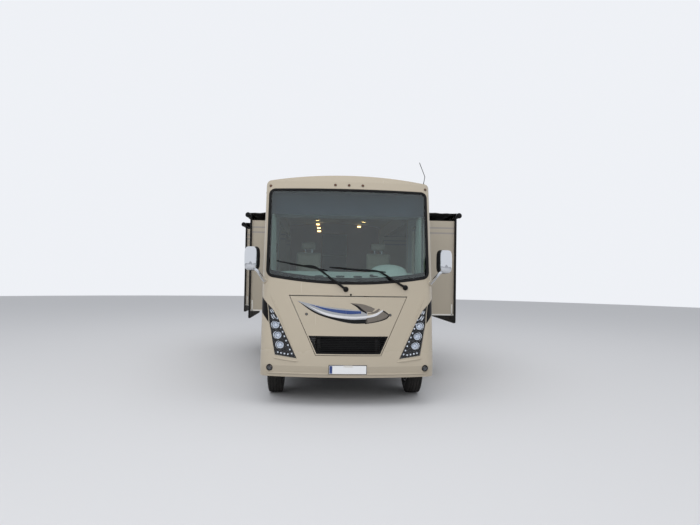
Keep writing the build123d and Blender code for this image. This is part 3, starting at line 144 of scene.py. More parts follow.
def both(shape):
    """A shape and its mirror image."""
    return merged(shape, mirrored(shape))


def unit(vectors):
    """Vectors divided by their lengths."""
    return vectors / np.linalg.norm(vectors, axis=-1, keepdims=True)


def frame_of(axis):
    """Two unit vectors across an axis."""
    axis = unit(np.array(axis, float))
    across = unit(np.cross(axis, (0, 0, 1) if abs(axis[2]) < 0.9 else AFT))
    return axis, across, np.cross(axis, across)


def turned(profile, centre, axis, steps):
    """A profile of (distance along, radius) turned about an axis: centre + along + radius x (cos, sin)."""
    axis, across, over = frame_of(axis)
    along, radius = np.array(profile, float).T
    turn = angles(steps)
    spokes = np.cos(turn)[:, None] * across + np.sin(turn)[:, None] * over
    return np.array(centre, float) + along[:, None, None] * axis + radius[:, None, None] * spokes[None]


def lathe(profile, centre, axis, steps=48):
    """A turned profile whose ends are closed."""
    return capped(turned(profile, centre, axis, steps))


def ring(profile, centre, axis, steps=48):
    """A turned profile that closes on itself, open in its middle."""
    return looped(turned(profile, centre, axis, steps))


def smooth_path(points, samples=12):
    """A curve through points: cubic in each span, its tangent half the chord of the neighbours."""
    points = np.array(points, float)
    axes = points.shape[1]
    padded = np.concatenate([[2 * points[0] - points[1]], points, [2 * points[-1] - points[-2]]])
    t = np.linspace(0, 1, samples, endpoint=False)[:, None, None]
    a, b, c, d = padded[:-3], padded[1:-2], padded[2:-1], padded[3:]
    curve = 0.5 * (2 * b + (c - a) * t + (2 * a - 5 * b + 4 * c - d) * t**2 + (3 * b - 3 * c + d - a) * t**3)
    return np.concatenate([curve.transpose(1, 0, 2).reshape(-1, axes), points[-1:]])


def tube(path, radius, sides=10, up=(0, 0, 1)):
    """A round bar along a path: at each point a circle of that radius across the path's direction."""
    path = np.array(path, float)
    along = unit(np.gradient(path, axis=0))
    across = unit(np.cross(along, np.array(up, float)))
    over = np.cross(across, along)
    turn = angles(sides)
    radius = np.broadcast_to(np.asarray(radius, float), len(path))[:, None, None]
    circle = np.cos(turn)[None, :, None] * across[:, None] + np.sin(turn)[None, :, None] * over[:, None]
    return capped(path[:, None] + radius * circle)


def slab(low, high, radius, steps=3):
    """A box with round edges: each point is a corner of the core plus radius x a direction."""
    low, high = np.minimum(low, high), np.maximum(low, high)
    quarter = np.linspace(0, math.pi / 2, steps + 1)
    turn = (np.arange(4)[:, None] * math.pi / 2 + quarter).ravel()
    rise = np.concatenate([quarter - math.pi / 2, quarter])
    turn_sign = np.repeat([[1, 1], [-1, 1], [-1, -1], [1, -1]], steps + 1, 0)
    rise_sign = np.repeat([-1, 1], steps + 1)
    ones = np.ones((len(rise), len(turn)))
    signs = np.stack([ones * turn_sign[:, 0], ones * turn_sign[:, 1], ones * rise_sign[:, None]], -1)
    flat = np.cos(rise)[:, None]
    heading = np.stack([flat * np.cos(turn), flat * np.sin(turn), np.sin(rise)[:, None] * np.ones(len(turn))], -1)
    core = (high - low) / 2 - radius
    return capped((low + high) / 2 + signs * core + radius * heading)


def rounded_outline(low, high, radius, steps=6, run=1):
    """Points and outward normals round a rectangle with quarter circles for corners, run points a side."""
    low, high = np.array(low, float), np.array(high, float)
    quarter = np.linspace(0, math.pi / 2, steps + 1)
    turn = np.arange(4)[:, None] * math.pi / 2 + quarter
    normals = np.stack([np.cos(turn), np.sin(turn)], -1)
    signs = np.array([[1, 1], [-1, 1], [-1, -1], [1, -1]])[:, None, :]
    corners = (low + high) / 2 + signs * ((high - low) / 2 - radius) + normals * radius
    share = np.linspace(0, 1, run + 2)[1:-1, None]
    start, end = corners[:, -1:], np.roll(corners[:, :1], -1, 0)
    sides = start + (end - start) * share
    side_normals = np.broadcast_to(normals[:, -1:], sides.shape)
    points = np.concatenate([corners, sides], 1).reshape(-1, 2)
    return points, np.concatenate([normals, side_normals], 1).reshape(-1, 2)


def on_side(side, base=None):
    """Places (u, v, height) on a side wall: u runs along Y, v up, height outwards from base."""
    base = WALL if base is None else base
    return lambda u, v, w: spread(side * (base + w), u, v)


def on_rear(u, v, w):
    """Places (u, v, height) on the rear wall."""
    return spread(u, BACK + w, v)


def sweep(outline, normals, section, place):
    """A closed section of (offset, height) carried round an outline: outline + normal x offset, raised."""
    section = np.array(section, float)
    across = outline[:, None, :] + normals[:, None, :] * section[None, :, :1]
    return looped(place(across[..., 0], across[..., 1], section[None, :, 1]))


def panel(outline, low, high, place):
    """A flat plate: an outline raised from low to high, its edge rounded off, closed by fans."""
    edge = min(0.002, abs(high - low) / 3)
    middle = outline.mean(0)
    shrink = 1 - edge / np.abs(outline - middle).max()
    rings = [(1.0, low), (1.0, high - edge), (shrink, high)]
    rows = [place(*(middle + (outline - middle) * share).T, height) for share, height in rings]
    return capped(np.stack(rows))


def dropped(points, node, towards=1, lift=0.0):
    """Points moved along Y until they meet a CAD node, then back by lift, by one shrinkwrap."""
    mesh = bpy.data.meshes.new("probe")
    mesh.from_pydata(points.reshape(-1, 3).tolist(), [], [])
    probe = bpy.data.objects.new("probe", mesh)
    bpy.context.scene.collection.objects.link(probe)
    wrap = probe.modifiers.new("wrap", "SHRINKWRAP")
    wrap.target = NODES[node]
    wrap.wrap_method = "PROJECT"
    wrap.use_project_y = True
    wrap.use_positive_direction = towards > 0
    wrap.use_negative_direction = towards < 0
    settled = probe.evaluated_get(bpy.context.evaluated_depsgraph_get()).data
    moved = np.empty(len(settled.vertices) * 3)
    settled.vertices.foreach_get("co", moved)
    bpy.data.objects.remove(probe)
    moved = moved.reshape(points.shape)
    moved[..., 1] -= towards * lift
    return moved


def on_front(places, node, lift=0.0):
    """Places in X and Z dropped onto a node from ahead of the nose."""
    places = np.asarray(places, float)
    return dropped(spread(places[..., 0], NOSE - 0.3, places[..., 1]), node, lift=lift)


def piece(name, parts, body="coach", angle=35.0, closed=True):
    """An object from (shape or list of shapes, finish) pairs, welded, smooth below an angle, on a body."""
    points, faces, chosen, finishes, count = [], [], [], [], 0
    for shape, finish in parts:
        shape = merged(*shape) if isinstance(shape, list) else shape
        if finish not in finishes:
            finishes.append(finish)
        new_faces = (shape[1] + count).tolist() + (shape[2] + count).tolist()
        points.append(shape[0])
        faces += new_faces
        chosen += [finishes.index(finish)] * len(new_faces)
        count += len(shape[0])
    mesh = bpy.data.meshes.new(name)
    mesh.from_pydata(np.concatenate(points).tolist(), [], faces)
    mesh.polygons.foreach_set("material_index", chosen)
    weld = bmesh.new()
    weld.from_mesh(mesh)
    bmesh.ops.remove_doubles(weld, verts=weld.verts, dist=1e-6)
    if closed:
        bmesh.ops.recalc_face_normals(weld, faces=weld.faces)
    weld.to_mesh(mesh)
    weld.free()
    mesh.polygons.foreach_set("use_smooth", [True] * len(mesh.polygons))
    mesh.set_sharp_from_angle(angle=math.radians(angle))
    made = bpy.data.objects.new(name, mesh)
    bpy.context.scene.collection.objects.link(made)
    for finish in finishes:
        mesh.materials.append(FINISHES[finish])
    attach(made, body)
    return made


def settled(made):
    """Applies an object's modifiers to its mesh."""
    mesh = bpy.data.meshes.new_from_object(made.evaluated_get(bpy.context.evaluated_depsgraph_get()))
    made.modifiers.clear()
    made.data = mesh
    return made


def thickened(made, thickness, offset=-1):
    """Gives a sheet its thickness, behind its faces at offset -1 and to both sides at 0."""
    solid = made.modifiers.new("thickness", "SOLIDIFY")
    solid.thickness = thickness
    solid.offset = offset
    return settled(made)


# Node groups: effects that several finishes share.


def put(tree, kind, inputs=None, **settings):
    """Adds a node. An input's value is a socket to link or a constant."""
    made = tree.nodes.new("ShaderNode" + kind)
    for key, value in settings.items():
        setattr(made, key, value)
    for key, value in (inputs or {}).items():
        if isinstance(value, bpy.types.NodeSocket):
            tree.links.new(value, made.inputs[key])
        else:
            made.inputs[key].default_value = value
    return made


def effect(name, inputs, outputs):
    """An empty node group with named sockets, each a (name, kind, default)."""
    group = bpy.data.node_groups.new(name, "ShaderNodeTree")
    for title, kind, value in inputs:
        socket = group.interface.new_socket(title, in_out="INPUT", socket_type="NodeSocket" + kind)
        if value is not None:
            socket.default_value = value
    for title, kind in outputs:
        group.interface.new_socket(title, in_out="OUTPUT", socket_type="NodeSocket" + kind)
    return group, group.nodes.new("NodeGroupInput").outputs, group.nodes.new("NodeGroupOutput").inputs


def number(tree, operation, *values, clamp=False):
    """A Math node's output."""
    return put(tree, "Math", dict(enumerate(values)), operation=operation, use_clamp=clamp).outputs[0]


def times(tree, *values, clamp=False):
    """Two values multiplied."""
    return number(tree, "MULTIPLY", *values, clamp=clamp)


def minus(tree, *values, clamp=False):
    """The second value taken from the first."""
    return number(tree, "SUBTRACT", *values, clamp=clamp)


def blended(tree, share, first, second, blend_type="MIX"):
    """A colour mixed from two by a share."""
    mix = put(tree, "Mix", {0: share, 6: first, 7: second}, data_type="RGBA", blend_type=blend_type)
    return mix.outputs[2]


def bumped(tree, height, strength, distance):
    """A normal raised by a height."""
    return put(tree, "Bump", {"Height": height, "Strength": strength, "Distance": distance}).outputs[0]


def object_point(tree):
    """Object coordinates, in metres."""
    return put(tree, "TexCoord").outputs["Object"]


def noise(tree, scale, detail=3.0, stretch=(1, 1, 1), vector=None):
    """Fractal noise over the object, finer along the axes with more stretch."""
    point = vector or object_point(tree)
    if stretch != (1, 1, 1):
        point = put(tree, "Mapping", {"Vector": point, "Scale": stretch}).outputs[0]
    return put(tree, "TexNoise", {"Vector": point, "Scale": scale, "Detail": detail}).outputs["Fac"]


def make_effects():
    """Builds the shared effects once, by name."""
    group, given, out = effect(
        "Weathering",
        [
            ("Color", "Color", (1, 1, 1, 1)), ("Dust Color", "Color", (0.2, 0.17, 0.14, 1)),
            ("Dust Height", "Float", 0.9), ("Dust", "Float", 0.5), ("Streaks", "Float", 0.1),
            ("Mottle", "Float", 0.05)
        ],
        [("Color", "Color"), ("Mask", "Float")]
    )
    height = put(group, "SeparateXYZ", {0: object_point(group)}).outputs["Z"]
    low = minus(group, 1.0, number(group, "DIVIDE", height, given["Dust Height"]), clamp=True)
    patches = noise(group, 6.0, 5.0)
    splash = times(group, number(group, "POWER", low, 1.6), patches)
    dust = times(group, splash, given["Dust"], clamp=True)
    runs = minus(group, noise(group, 1.0, 2.0, (12, 12, 0.35)), 0.6, clamp=True)
    streak = times(group, times(group, runs, 4.0), given["Streaks"], clamp=True)
    mask = number(group, "MAXIMUM", dust, streak)
    shade = number(group, "MULTIPLY_ADD", minus(group, noise(group, 1.7), 0.5), given["Mottle"], 1.0)
    mottled = blended(group, 1.0, given["Color"], shade, "MULTIPLY")
    group.links.new(blended(group, mask, mottled, given["Dust Color"]), out["Color"])
    group.links.new(mask, out["Mask"])

    group, given, out = effect(
        "Grain", [("Scale", "Float", 400.0), ("Strength", "Float", 0.2), ("Depth", "Float", 0.001)],
        [("Normal", "Vector")]
    )
    normal = bumped(group, noise(group, given["Scale"], 4.0), given["Strength"], given["Depth"])
    group.links.new(normal, out["Normal"])

    group, given, out = effect(
        "Edge wear", [("Radius", "Float", 0.006), ("Amount", "Float", 0.6)], [("Mask", "Float")]
    )
    bevel = put(group, "Bevel", {"Radius": given["Radius"]}, samples=4).outputs[0]
    plain = put(group, "NewGeometry").outputs["Normal"]
    facing = put(group, "VectorMath", {0: bevel, 1: plain}, operation="DOT_PRODUCT").outputs["Value"]
    edge = times(group, minus(group, 0.985, facing, clamp=True), 9.0, clamp=True)
    broken = number(group, "GREATER_THAN", noise(group, 60.0, 4.0), 0.47)
    worn = times(group, times(group, edge, broken), given["Amount"])
    group.links.new(worn, out["Mask"])

    # Weave: its Mask follows the threads' height, so that a cloth can lay its darker colour in the hollows as
    # painted shade.
    group, given, out = effect(
        "Weave", [("Vector", "Vector", None), ("Threads", "Float", 900.0)], [("Height", "Float"), ("Mask", "Float")]
    )
    threads = {"Vector": given["Vector"], "Scale": given["Threads"]}
    waves = [put(group, "TexWave", threads, bands_direction=axis).outputs["Fac"] for axis in ("X", "Y")]
    crossing = times(group, *waves)
    group.links.new(crossing, out["Height"])
    group.links.new(number(group, "POWER", crossing, 0.5), out["Mask"])


def place_effect(tree, name, **inputs):
    """A shared effect placed in a material, its inputs by name with spaces as underscores."""
    named = {key.replace("_", " "): value for key, value in inputs.items()}
    return put(tree, "Group", named, node_tree=bpy.data.node_groups[name]).outputs


# Finishes. Each returns a material, made once and kept by name.


def rgb(colour):
    """A colour property or three numbers as four."""
    return (*tuple(colour)[:3], 1.0)


def principled(name, **values):
    """A new material and its tree, with constants set on its Principled node's own sockets."""
    made = bpy.data.materials.new(name)
    made.use_nodes = True
    shader = made.node_tree.nodes["Principled BSDF"]
    for key, value in values.items():
        shader.inputs[key.replace("_", " ")].default_value = value
    return made, made.node_tree


def link(tree, **sockets):
    """Links sockets to the Principled node's inputs by name."""
    shader = tree.nodes["Principled BSDF"]
    for key, socket in sockets.items():
        tree.links.new(socket, shader.inputs[key.replace("_", " ")])


def band(tree, height, low, high):
    """1 where a height lies between two values, else 0."""
    return times(tree, number(tree, "GREATER_THAN", height, low), number(tree, "LESS_THAN", height, high))


def gelcoat(name, colour, dust=0.5, streaks=0.1, stripes=(), stripe_colour=(0.2, 0.2, 0.2)):
    """Sprayed gel coat: slow colour drift, dust low down, rain streaks, painted bands and orange peel."""
    made, tree = principled(name, Coat_Weight=0.35, Coat_Roughness=0.08, IOR=1.5)
    paint = rgb(colour)
    if stripes:
        height = put(tree, "SeparateXYZ", {0: object_point(tree)}).outputs["Z"]
        shares = [band(tree, height, low, high) for low, high in stripes]
        share = shares[0]
        for other in shares[1:]:
            share = number(tree, "ADD", share, other)
        paint = blended(tree, share, paint, rgb(stripe_colour))
    weather = place_effect(tree, "Weathering", Color=paint, Dust=dust, Streaks=streaks, Mottle=0.06)
    rough = number(tree, "MULTIPLY_ADD", weather["Mask"], 0.45, 0.27)
    grain = place_effect(tree, "Grain", Scale=260.0, Strength=0.06, Depth=0.001)
    link(tree, Base_Color=weather["Color"], Roughness=rough, Normal=grain["Normal"])
    return made


def plastic(name, colour, roughness=0.5, grain=900.0, dust=0.3, shine=0.5):
    """Moulded plastic: fine leather-like grain, a little dust, and slight drift in gloss."""
    made, tree = principled(name, Specular_IOR_Level=shine)
    weather = place_effect(tree, "Weathering", Color=rgb(colour), Dust=dust, Streaks=0.03, Mottle=0.12)
    rough = number(tree, "MULTIPLY_ADD", noise(tree, 9.0), 0.18, roughness - 0.09)
    normal = place_effect(tree, "Grain", Scale=grain, Strength=0.25, Depth=0.0006)["Normal"]
    link(tree, Base_Color=weather["Color"], Roughness=rough, Normal=normal)
    return made


def painted_metal(name, colour, worn_colour=(0.22, 0.13, 0.08), metallic=0.0, roughness=0.45, wear=0.7, dust=0.6):
    """Painted or cast metal: worn edges, rust-brown blotches, road dust and a coarse skin."""
    made, tree = principled(name, Metallic=metallic)
    edges = place_effect(tree, "Edge wear", Radius=0.005, Amount=wear)["Mask"]
    worn = blended(tree, edges, rgb(colour), rgb(worn_colour))
    weather = place_effect(tree, "Weathering", Color=worn, Dust=dust, Streaks=0.15, Mottle=0.35)
    normal = place_effect(tree, "Grain", Scale=320.0, Strength=0.3, Depth=0.001)["Normal"]
    rough = number(tree, "MULTIPLY_ADD", noise(tree, 14.0), 0.3, roughness - 0.1)
    link(tree, Base_Color=weather["Color"], Roughness=rough, Normal=normal)
    return made


def bright_metal(name, colour, roughness=0.08, brush=(1, 1, 1), dust=0.15):
    """Chrome, polished steel or aluminium: smudges in the gloss and faint brushing along one axis."""
    made, tree = principled(name, Metallic=1.0)
    weather = place_effect(tree, "Weathering", Color=rgb(colour), Dust=dust, Streaks=0.02, Mottle=0.05)
    smudge = noise(tree, 7.0, 6.0)
    brushing = noise(tree, 90.0, 2.0, brush)
    rough = number(tree, "MULTIPLY_ADD", smudge, roughness, roughness * 0.6)
    height = bumped(tree, brushing, 0.04, 0.0005)
    link(tree, Base_Color=weather["Color"], Roughness=rough, Normal=height)
    return made


def rubber(name, colour=(0.007, 0.007, 0.0075), dust=0.15):
    """Rubber: matt black greyed by dust, with a fine skin."""
    return plastic(name, colour, roughness=0.72, grain=500.0, dust=dust, shine=0.25)


def glass(name, tint, roughness=0.0, ior=1.5, film=0.0):
    """Glass or clear plastic whose shadow rays pass through tinted, with a film of dust in its gloss."""
    made, tree = principled(name, Transmission_Weight=1.0, IOR=ior, Base_Color=rgb(tint))
    smear = noise(tree, 5.0, 5.0, (1, 1, 0.4))
    link(tree, Roughness=number(tree, "MULTIPLY_ADD", smear, film, roughness))
    clear = put(tree, "BsdfTransparent", {"Color": rgb(tint)})
    shadow = put(tree, "LightPath").outputs["Is Shadow Ray"]
    mix = put(tree, "MixShader", {0: shadow, 1: tree.nodes["Principled BSDF"].outputs[0], 2: clear.outputs[0]})
    tree.links.new(mix.outputs[0], tree.nodes["Material Output"].inputs["Surface"])
    return made


def lens(name, colour, glow=0.0, flutes=220.0):
    """A moulded lamp lens: ribs that catch the light and a faint glow of its own colour."""
    made, tree = principled(
        name, Coat_Weight=0.6, Coat_Roughness=0.05, Subsurface_Weight=0.15, Emission_Color=rgb(colour),
        Emission_Strength=glow, Roughness=0.2
    )
    ribs = put(
        tree, "TexWave", {"Vector": object_point(tree), "Scale": flutes}, bands_direction="DIAGONAL"
    ).outputs["Fac"]
    shade = blended(tree, times(tree, ribs, 0.35), rgb(colour), (*(0.5 * c for c in colour), 1.0))
    bump = bumped(tree, ribs, 0.3, 0.001)
    link(tree, Base_Color=shade, Normal=bump)
    return made


def cloth(name, colour, second, threads=700.0, sheen=0.3, use_uv=True):
    """Woven cloth: two colours, the darker one laid in the weave's hollows as painted shade, a weave that stands
    up, and sheen.
    """
    made, tree = principled(name, Sheen_Weight=sheen, Roughness=0.85)
    point = put(tree, "TexCoord").outputs["UV" if use_uv else "Object"]
    weave = place_effect(tree, "Weave", Vector=point, Threads=threads)
    # Painted shade: the weave's mask lays the darker colour in its hollows and the lighter one on its raised
    # threads.
    shade = blended(tree, weave["Mask"], rgb(second), rgb(colour))
    faded = blended(tree, times(tree, noise(tree, 2.5, 4.0), 0.25), shade, rgb(second))
    bump = bumped(tree, weave["Height"], 0.35, 0.0008)
    link(tree, Base_Color=faded, Normal=bump)
    return made


def leather(name, colour):
    """Leatherette: pebbled grain from cells, its creases darkened as painted shade, with a soft sheen."""
    made, tree = principled(name, Sheen_Weight=0.1)
    cells = put(
        tree, "TexVoronoi", {"Vector": object_point(tree), "Scale": 260.0}, feature="DISTANCE_TO_EDGE"
    ).outputs[0]
    crease = times(tree, cells, 3.0, clamp=True)
    # Painted shade: the colour darkens towards the cells' edges, where the grain's creases sink.
    shade = blended(tree, crease, (*(0.55 * c for c in tuple(colour)[:3]), 1.0), rgb(colour))
    drift = blended(tree, times(tree, noise(tree, 4.0), 0.3), shade, (*(0.8 * c for c in tuple(colour)[:3]), 1.0))
    bump = bumped(tree, crease, 0.25, 0.0007)
    rough = number(tree, "MULTIPLY_ADD", noise(tree, 11.0), 0.2, 0.42)
    link(tree, Base_Color=drift, Roughness=rough, Normal=bump)
    return made


def timber(name, colour, dark):
    """Veneer: long rings of darker grain stretched up the panel, under satin lacquer."""
    made, tree = principled(name, Coat_Weight=0.3, Coat_Roughness=0.2, Roughness=0.4)
    drift = noise(tree, 1.0, 6.0, (14, 14, 1.1))
    rings = put(
        tree, "TexWave",
        {"Vector": object_point(tree), "Scale": 9.0, "Distortion": 6.0, "Detail": 3.0, "Detail Scale": 1.2}
    ).outputs["Fac"]
    share = times(tree, drift, rings)
    bump = bumped(tree, share, 0.12, 0.0005)
    link(tree, Base_Color=blended(tree, share, rgb(colour), rgb(dark)), Normal=bump)
    return made


def fins(name, colour):
    """A radiator's core: upright fins between flat tubes, as bump and as painted shade in the gaps between them."""
    made, tree = principled(name, Metallic=0.4, Roughness=0.6)
    point = object_point(tree)
    upright = put(tree, "TexWave", {"Vector": point, "Scale": 160.0}, bands_direction="X").outputs["Fac"]
    level = put(tree, "TexWave", {"Vector": point, "Scale": 34.0}, bands_direction="Z").outputs["Fac"]
    height = number(tree, "MAXIMUM", times(tree, upright, 0.6), level)
    bump = bumped(tree, height, 0.6, 0.003)
    # Painted shade: the colour goes near black where the fins' and tubes' height is low.
    link(tree, Base_Color=blended(tree, height, (0.003, 0.003, 0.003, 1), rgb(colour)), Normal=bump)
    return made


def glowing(name, colour, strength):
    """A lit lamp face, brighter in its middle cells."""
    made, tree = principled(name, Emission_Color=rgb(colour), Emission_Strength=strength, Roughness=0.3)
    cells = put(tree, "TexVoronoi", {"Vector": object_point(tree), "Scale": 120.0}).outputs["Distance"]
    link(tree, Base_Color=blended(tree, cells, rgb(colour), (0.9, 0.9, 0.9, 1.0)))
    return made


def make_finishes(colours):
    """Every finish of the coach by name."""
    stripe = dict(stripes=((2.675, 2.703), (2.772, 2.800)), stripe_colour=colours.stripe)
    return {
        "cap_paint": gelcoat("Cap paint", colours.paint, dust=0.4, streaks=0.02),
        "wall_paint": gelcoat("Wall paint", colours.wall, dust=0.5, streaks=0.02, **stripe),
        "slide_paint": gelcoat("Slide paint", colours.wall, dust=0.2, streaks=0.02, **stripe),
        "roof_paint": gelcoat("Roof membrane", (0.66, 0.64, 0.58), dust=0.0, streaks=0.0),
        "trim": plastic("Black trim", (0.005, 0.005, 0.0055), 0.5, dust=0.05, shine=0.2),
        "gloss_black": plastic("Gloss black", (0.003, 0.003, 0.0035), 0.4, grain=300.0, dust=0.0, shine=0.15),
        "grey": plastic("Grey plastic", (0.16, 0.16, 0.165), 0.5),
        "white": plastic("White plastic", (0.72, 0.71, 0.67), 0.45, dust=0.1),
        "rubber": rubber("Seal rubber"),
        "tyre": rubber("Tyre rubber", (0.016, 0.016, 0.0165), dust=0.2),
        "chrome": bright_metal("Chrome", (0.66, 0.68, 0.71), 0.05),
        "steel": bright_metal("Polished steel", (0.62, 0.63, 0.65), 0.16, (1, 12, 12), dust=0.8),
        "aluminium": bright_metal("Aluminium", (0.7, 0.71, 0.72), 0.3, (1, 1, 14)),
        "reflector": bright_metal("Lamp reflector", (0.75, 0.77, 0.8), 0.1),
        "dull_steel": bright_metal("Dull steel", (0.3, 0.28, 0.26), 0.4, dust=0.9),
        "chassis": painted_metal("Chassis black", (0.016, 0.016, 0.017)),
        "casting": painted_metal("Casting", (0.05, 0.05, 0.052), roughness=0.6),
        "engine_grey": painted_metal("Engine grey", (0.12, 0.12, 0.125), roughness=0.55),
        "step_metal": painted_metal("Step grating", (0.06, 0.06, 0.062), (0.35, 0.35, 0.36)),
        "gas_white": painted_metal("Gas tank paint", (0.6, 0.6, 0.58), dust=0.8),
        "screen": glass("Screen glass", (0.76, 0.9, 0.9), ior=1.55, film=0.02),
        "dark_glass": glass("Tinted glass", (0.09, 0.1, 0.11), film=0.03),
        "clear_lens": glass("Clear lens", (0.95, 0.97, 1.0), ior=1.3, film=0.01),
        "radiator": fins("Radiator core", (0.02, 0.02, 0.021)),
        "amber": lens("Amber lens", (0.55, 0.16, 0.02), 0.05),
        "red": lens("Red lens", (0.35, 0.008, 0.008), 0.05),
        "white_lens": lens("White lens", (0.6, 0.6, 0.62), 0.05),
        "marker": lens("Marker lens", (0.12, 0.045, 0.02), 0.0),
        # Near-black faces of the low lamps, under their clear domes.
        "dark_lens": lens("Low lamp lens", (0.03, 0.03, 0.032), 0.0),
        "led": glowing("Lamp diode", (0.75, 0.8, 0.88), 0.12),
        "ceiling_glow": glowing("Ceiling lamp glow", colours.ceiling_light, 7.0),
        "headliner": cloth("Headliner", (0.44, 0.45, 0.46), (0.34, 0.35, 0.36), 500.0, use_uv=False),
        "carpet": cloth("Floor covering", (0.3, 0.24, 0.18), (0.18, 0.13, 0.09), 300.0, use_uv=False),
        "curtain": cloth("Curtain cloth", colours.curtain, (0.34, 0.36, 0.32), 900.0),
        "topper": cloth("Topper cloth", (0.022, 0.022, 0.024), (0.01, 0.01, 0.011), 700.0, 0.05),
        "seat": leather("Chair leatherette", colours.seat),
        "wheel_leather": leather("Wheel leather", (0.03, 0.028, 0.026)),
        "dash": leather("Dash skin", (0.62, 0.64, 0.58)),
        # Dark blue-grey cloth for the faces of the cupboards over the cab.
        "shade": cloth("Overhead dark cloth", (0.05, 0.057, 0.08), (0.035, 0.04, 0.058), 500.0, use_uv=False),
        "timber": timber("Cherry veneer", (0.22, 0.12, 0.07), (0.10, 0.05, 0.028)),
        "blue": gelcoat("Blue film", colours.blue, dust=0.2),
        "silver": gelcoat("Silver film", (0.30, 0.31, 0.33), dust=0.2),
        "bright_film": gelcoat("Bright film", (0.62, 0.62, 0.64), dust=0.1),
        "taupe": gelcoat("Taupe film", (0.13, 0.11, 0.09), dust=0.2),
        "black_film": plastic("Black film", (0.004, 0.004, 0.0045), 0.35, dust=0.0, shine=0.2),
        "plate": gelcoat("Plate face", (0.78, 0.79, 0.8), dust=0.1),
        "mirror_face": bright_metal("Mirror face", (0.9, 0.92, 0.94), 0.01),
        "frit": plastic("Screen border", (0.003, 0.003, 0.004), 0.6, dust=0.0, shine=0.0),
    }


FINISHES = {}

# The CAD nodes that each finish covers.
NODES_BY_FINISH = {
    "cap_paint": "front_cap hood",
    "wall_paint": (
        "left_wall right_wall rear_wall entry_door left_front_bay_door left_rear_bay_door "
        "right_front_bay_door right_rear_bay_door"
    ),
    "roof_paint": "roof",
    "carpet": "floor",
    "screen": "windshield",
    "dark_glass": "coach_glass entry_door_glass left_slide_glass right_front_slide_glass",
    "clear_lens": "headlamp_lenses",
    "gloss_black": "corner_trims headlamps",
    "trim": (
        "wipers lockers grille left_slide_topper right_front_slide_topper right_rear_slide_topper tanks"
    ),
    "dash": "dashboard",
    "wheel_leather": "steering_wheel",
    "timber": "interior_panels",
    "chassis": "chassis_frame leaf_springs prop_shaft track_rod",
    "engine_grey": "engine",
    "dull_steel": "exhaust",
    "casting": "front_axle rear_axle left_knuckle right_knuckle",
    "aluminium": "ladder",
    "white": "roof_units",
    "step_metal": "entry_steps",
    "steel": "front_left_rim front_right_rim rear_left_rims rear_right_rims",
    "red": "tail_lamps",
    "marker": "marker_lamps",
}
NODE_FINISHES = {node: finish for finish, nodes in NODES_BY_FINISH.items() for node in nodes.split()}


def faces_of(node):
    """The centres and normals of a CAD node's faces, as arrays."""
    mesh = NODES[node].data
    centres, normals = np.empty(len(mesh.polygons) * 3), np.empty(len(mesh.polygons) * 3)
    mesh.polygons.foreach_get("center", centres)
    mesh.polygons.foreach_get("normal", normals)
    return centres.reshape(-1, 3), normals.reshape(-1, 3)


def dress(node, finishes, chosen=None):
    """Gives a CAD node its finishes. Chosen, an array over its faces, picks one of them for each face."""
    mesh = NODES[node].data
    mesh.materials.clear()
    for finish in finishes:
        mesh.materials.append(FINISHES[finish])
    picks = np.zeros(len(mesh.polygons), np.int32) if chosen is None else np.asarray(chosen, np.int32)
    mesh.polygons.foreach_set("material_index", picks)
    mesh.update()


# Nodes with two finishes, and which faces take the second, from the faces' centres and normals.
FACE_RULES = [
    ("marker_lamps", ["marker", "dark_lens"], lambda at, facing: at[:, 2] < 1.0),
    ("tail_lamps", ["red", "amber"], lambda at, facing: np.abs(at[:, 2] - 1.29) < 0.06),
    ("tanks", ["trim", "gas_white"], lambda at, facing: at[:, 0] < -0.56),
    ("floor", ["carpet", "chassis"], lambda at, facing: facing[:, 2] < 0.5),
    # The cupboards' faces over the cab, ahead of 1.30 m and above 2.7 m, take a dark blue-grey cloth in place of
    # the veneer, which darkens the band across the top of the screen.
    ("interior_panels", ["timber", "shade"], lambda at, facing: (at[:, 1] < station(1.30)) & (at[:, 2] > 2.7)),
    ("roof_units", ["white", "trim"], lambda at, facing: at[:, 1] < station(0.95)),
    ("left_wall", ["wall_paint", "headliner"], lambda at, facing: (facing[:, 0] < -0.5) & (at[:, 2] > 1.0)),
    ("right_wall", ["wall_paint", "headliner"], lambda at, facing: (facing[:, 0] > 0.5) & (at[:, 2] > 1.0)),
    ("rear_wall", ["wall_paint", "headliner"], lambda at, facing: (facing[:, 1] < -0.5) & (at[:, 2] > 1.0)),
    ("roof", ["roof_paint", "headliner"], lambda at, facing: (facing[:, 2] < -0.2) & (at[:, 2] > 1.0))
]


def dress_frame():
    """Finishes on all CAD nodes."""
    for node, finish in NODE_FINISHES.items():
        dress(node, [finish])
    for node, (side, _) in SLIDES.items():
        centres, normals = faces_of(node)
        fascia_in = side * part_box(node)[1 if side > 0 else 0].x - FASCIA
        x = centres[:, 0] * side
        rim = (x > fascia_in - 0.001) & (normals[:, 0] * side < 0.5)
        inside = (x < fascia_in - 0.001) & (normals[:, 0] * side < 0.5) & (np.abs(normals[:, 0]) > 0.5)
        dress(node, ["slide_paint", "trim", "headliner"], np.where(rim, 1, np.where(inside, 2, 0)))
    centres, normals = faces_of("headlamps")
    rounds = np.array(LAMP_ROUNDS)
    gap = np.hypot(np.abs(centres[:, None, 0]) - rounds[:, 0], centres[:, None, 2] - rounds[:, 1]).min(1)
    dress("headlamps", ["gloss_black", "reflector"], gap < 0.0505)
    for node, finishes, rule in FACE_RULES:
        dress(node, finishes, rule(*faces_of(node)))


LAMP_ROUNDS = [(1.050, 1.123), (1.014, 0.978), (0.976, 0.842)]


# Windscreen.

SCREEN_HALF = 1.21
SCREEN_TOP = 3.165
SCREEN_BOTTOM = 1.838
SCREEN_DIP = 0.105
SCREEN_RADIUS = 0.085


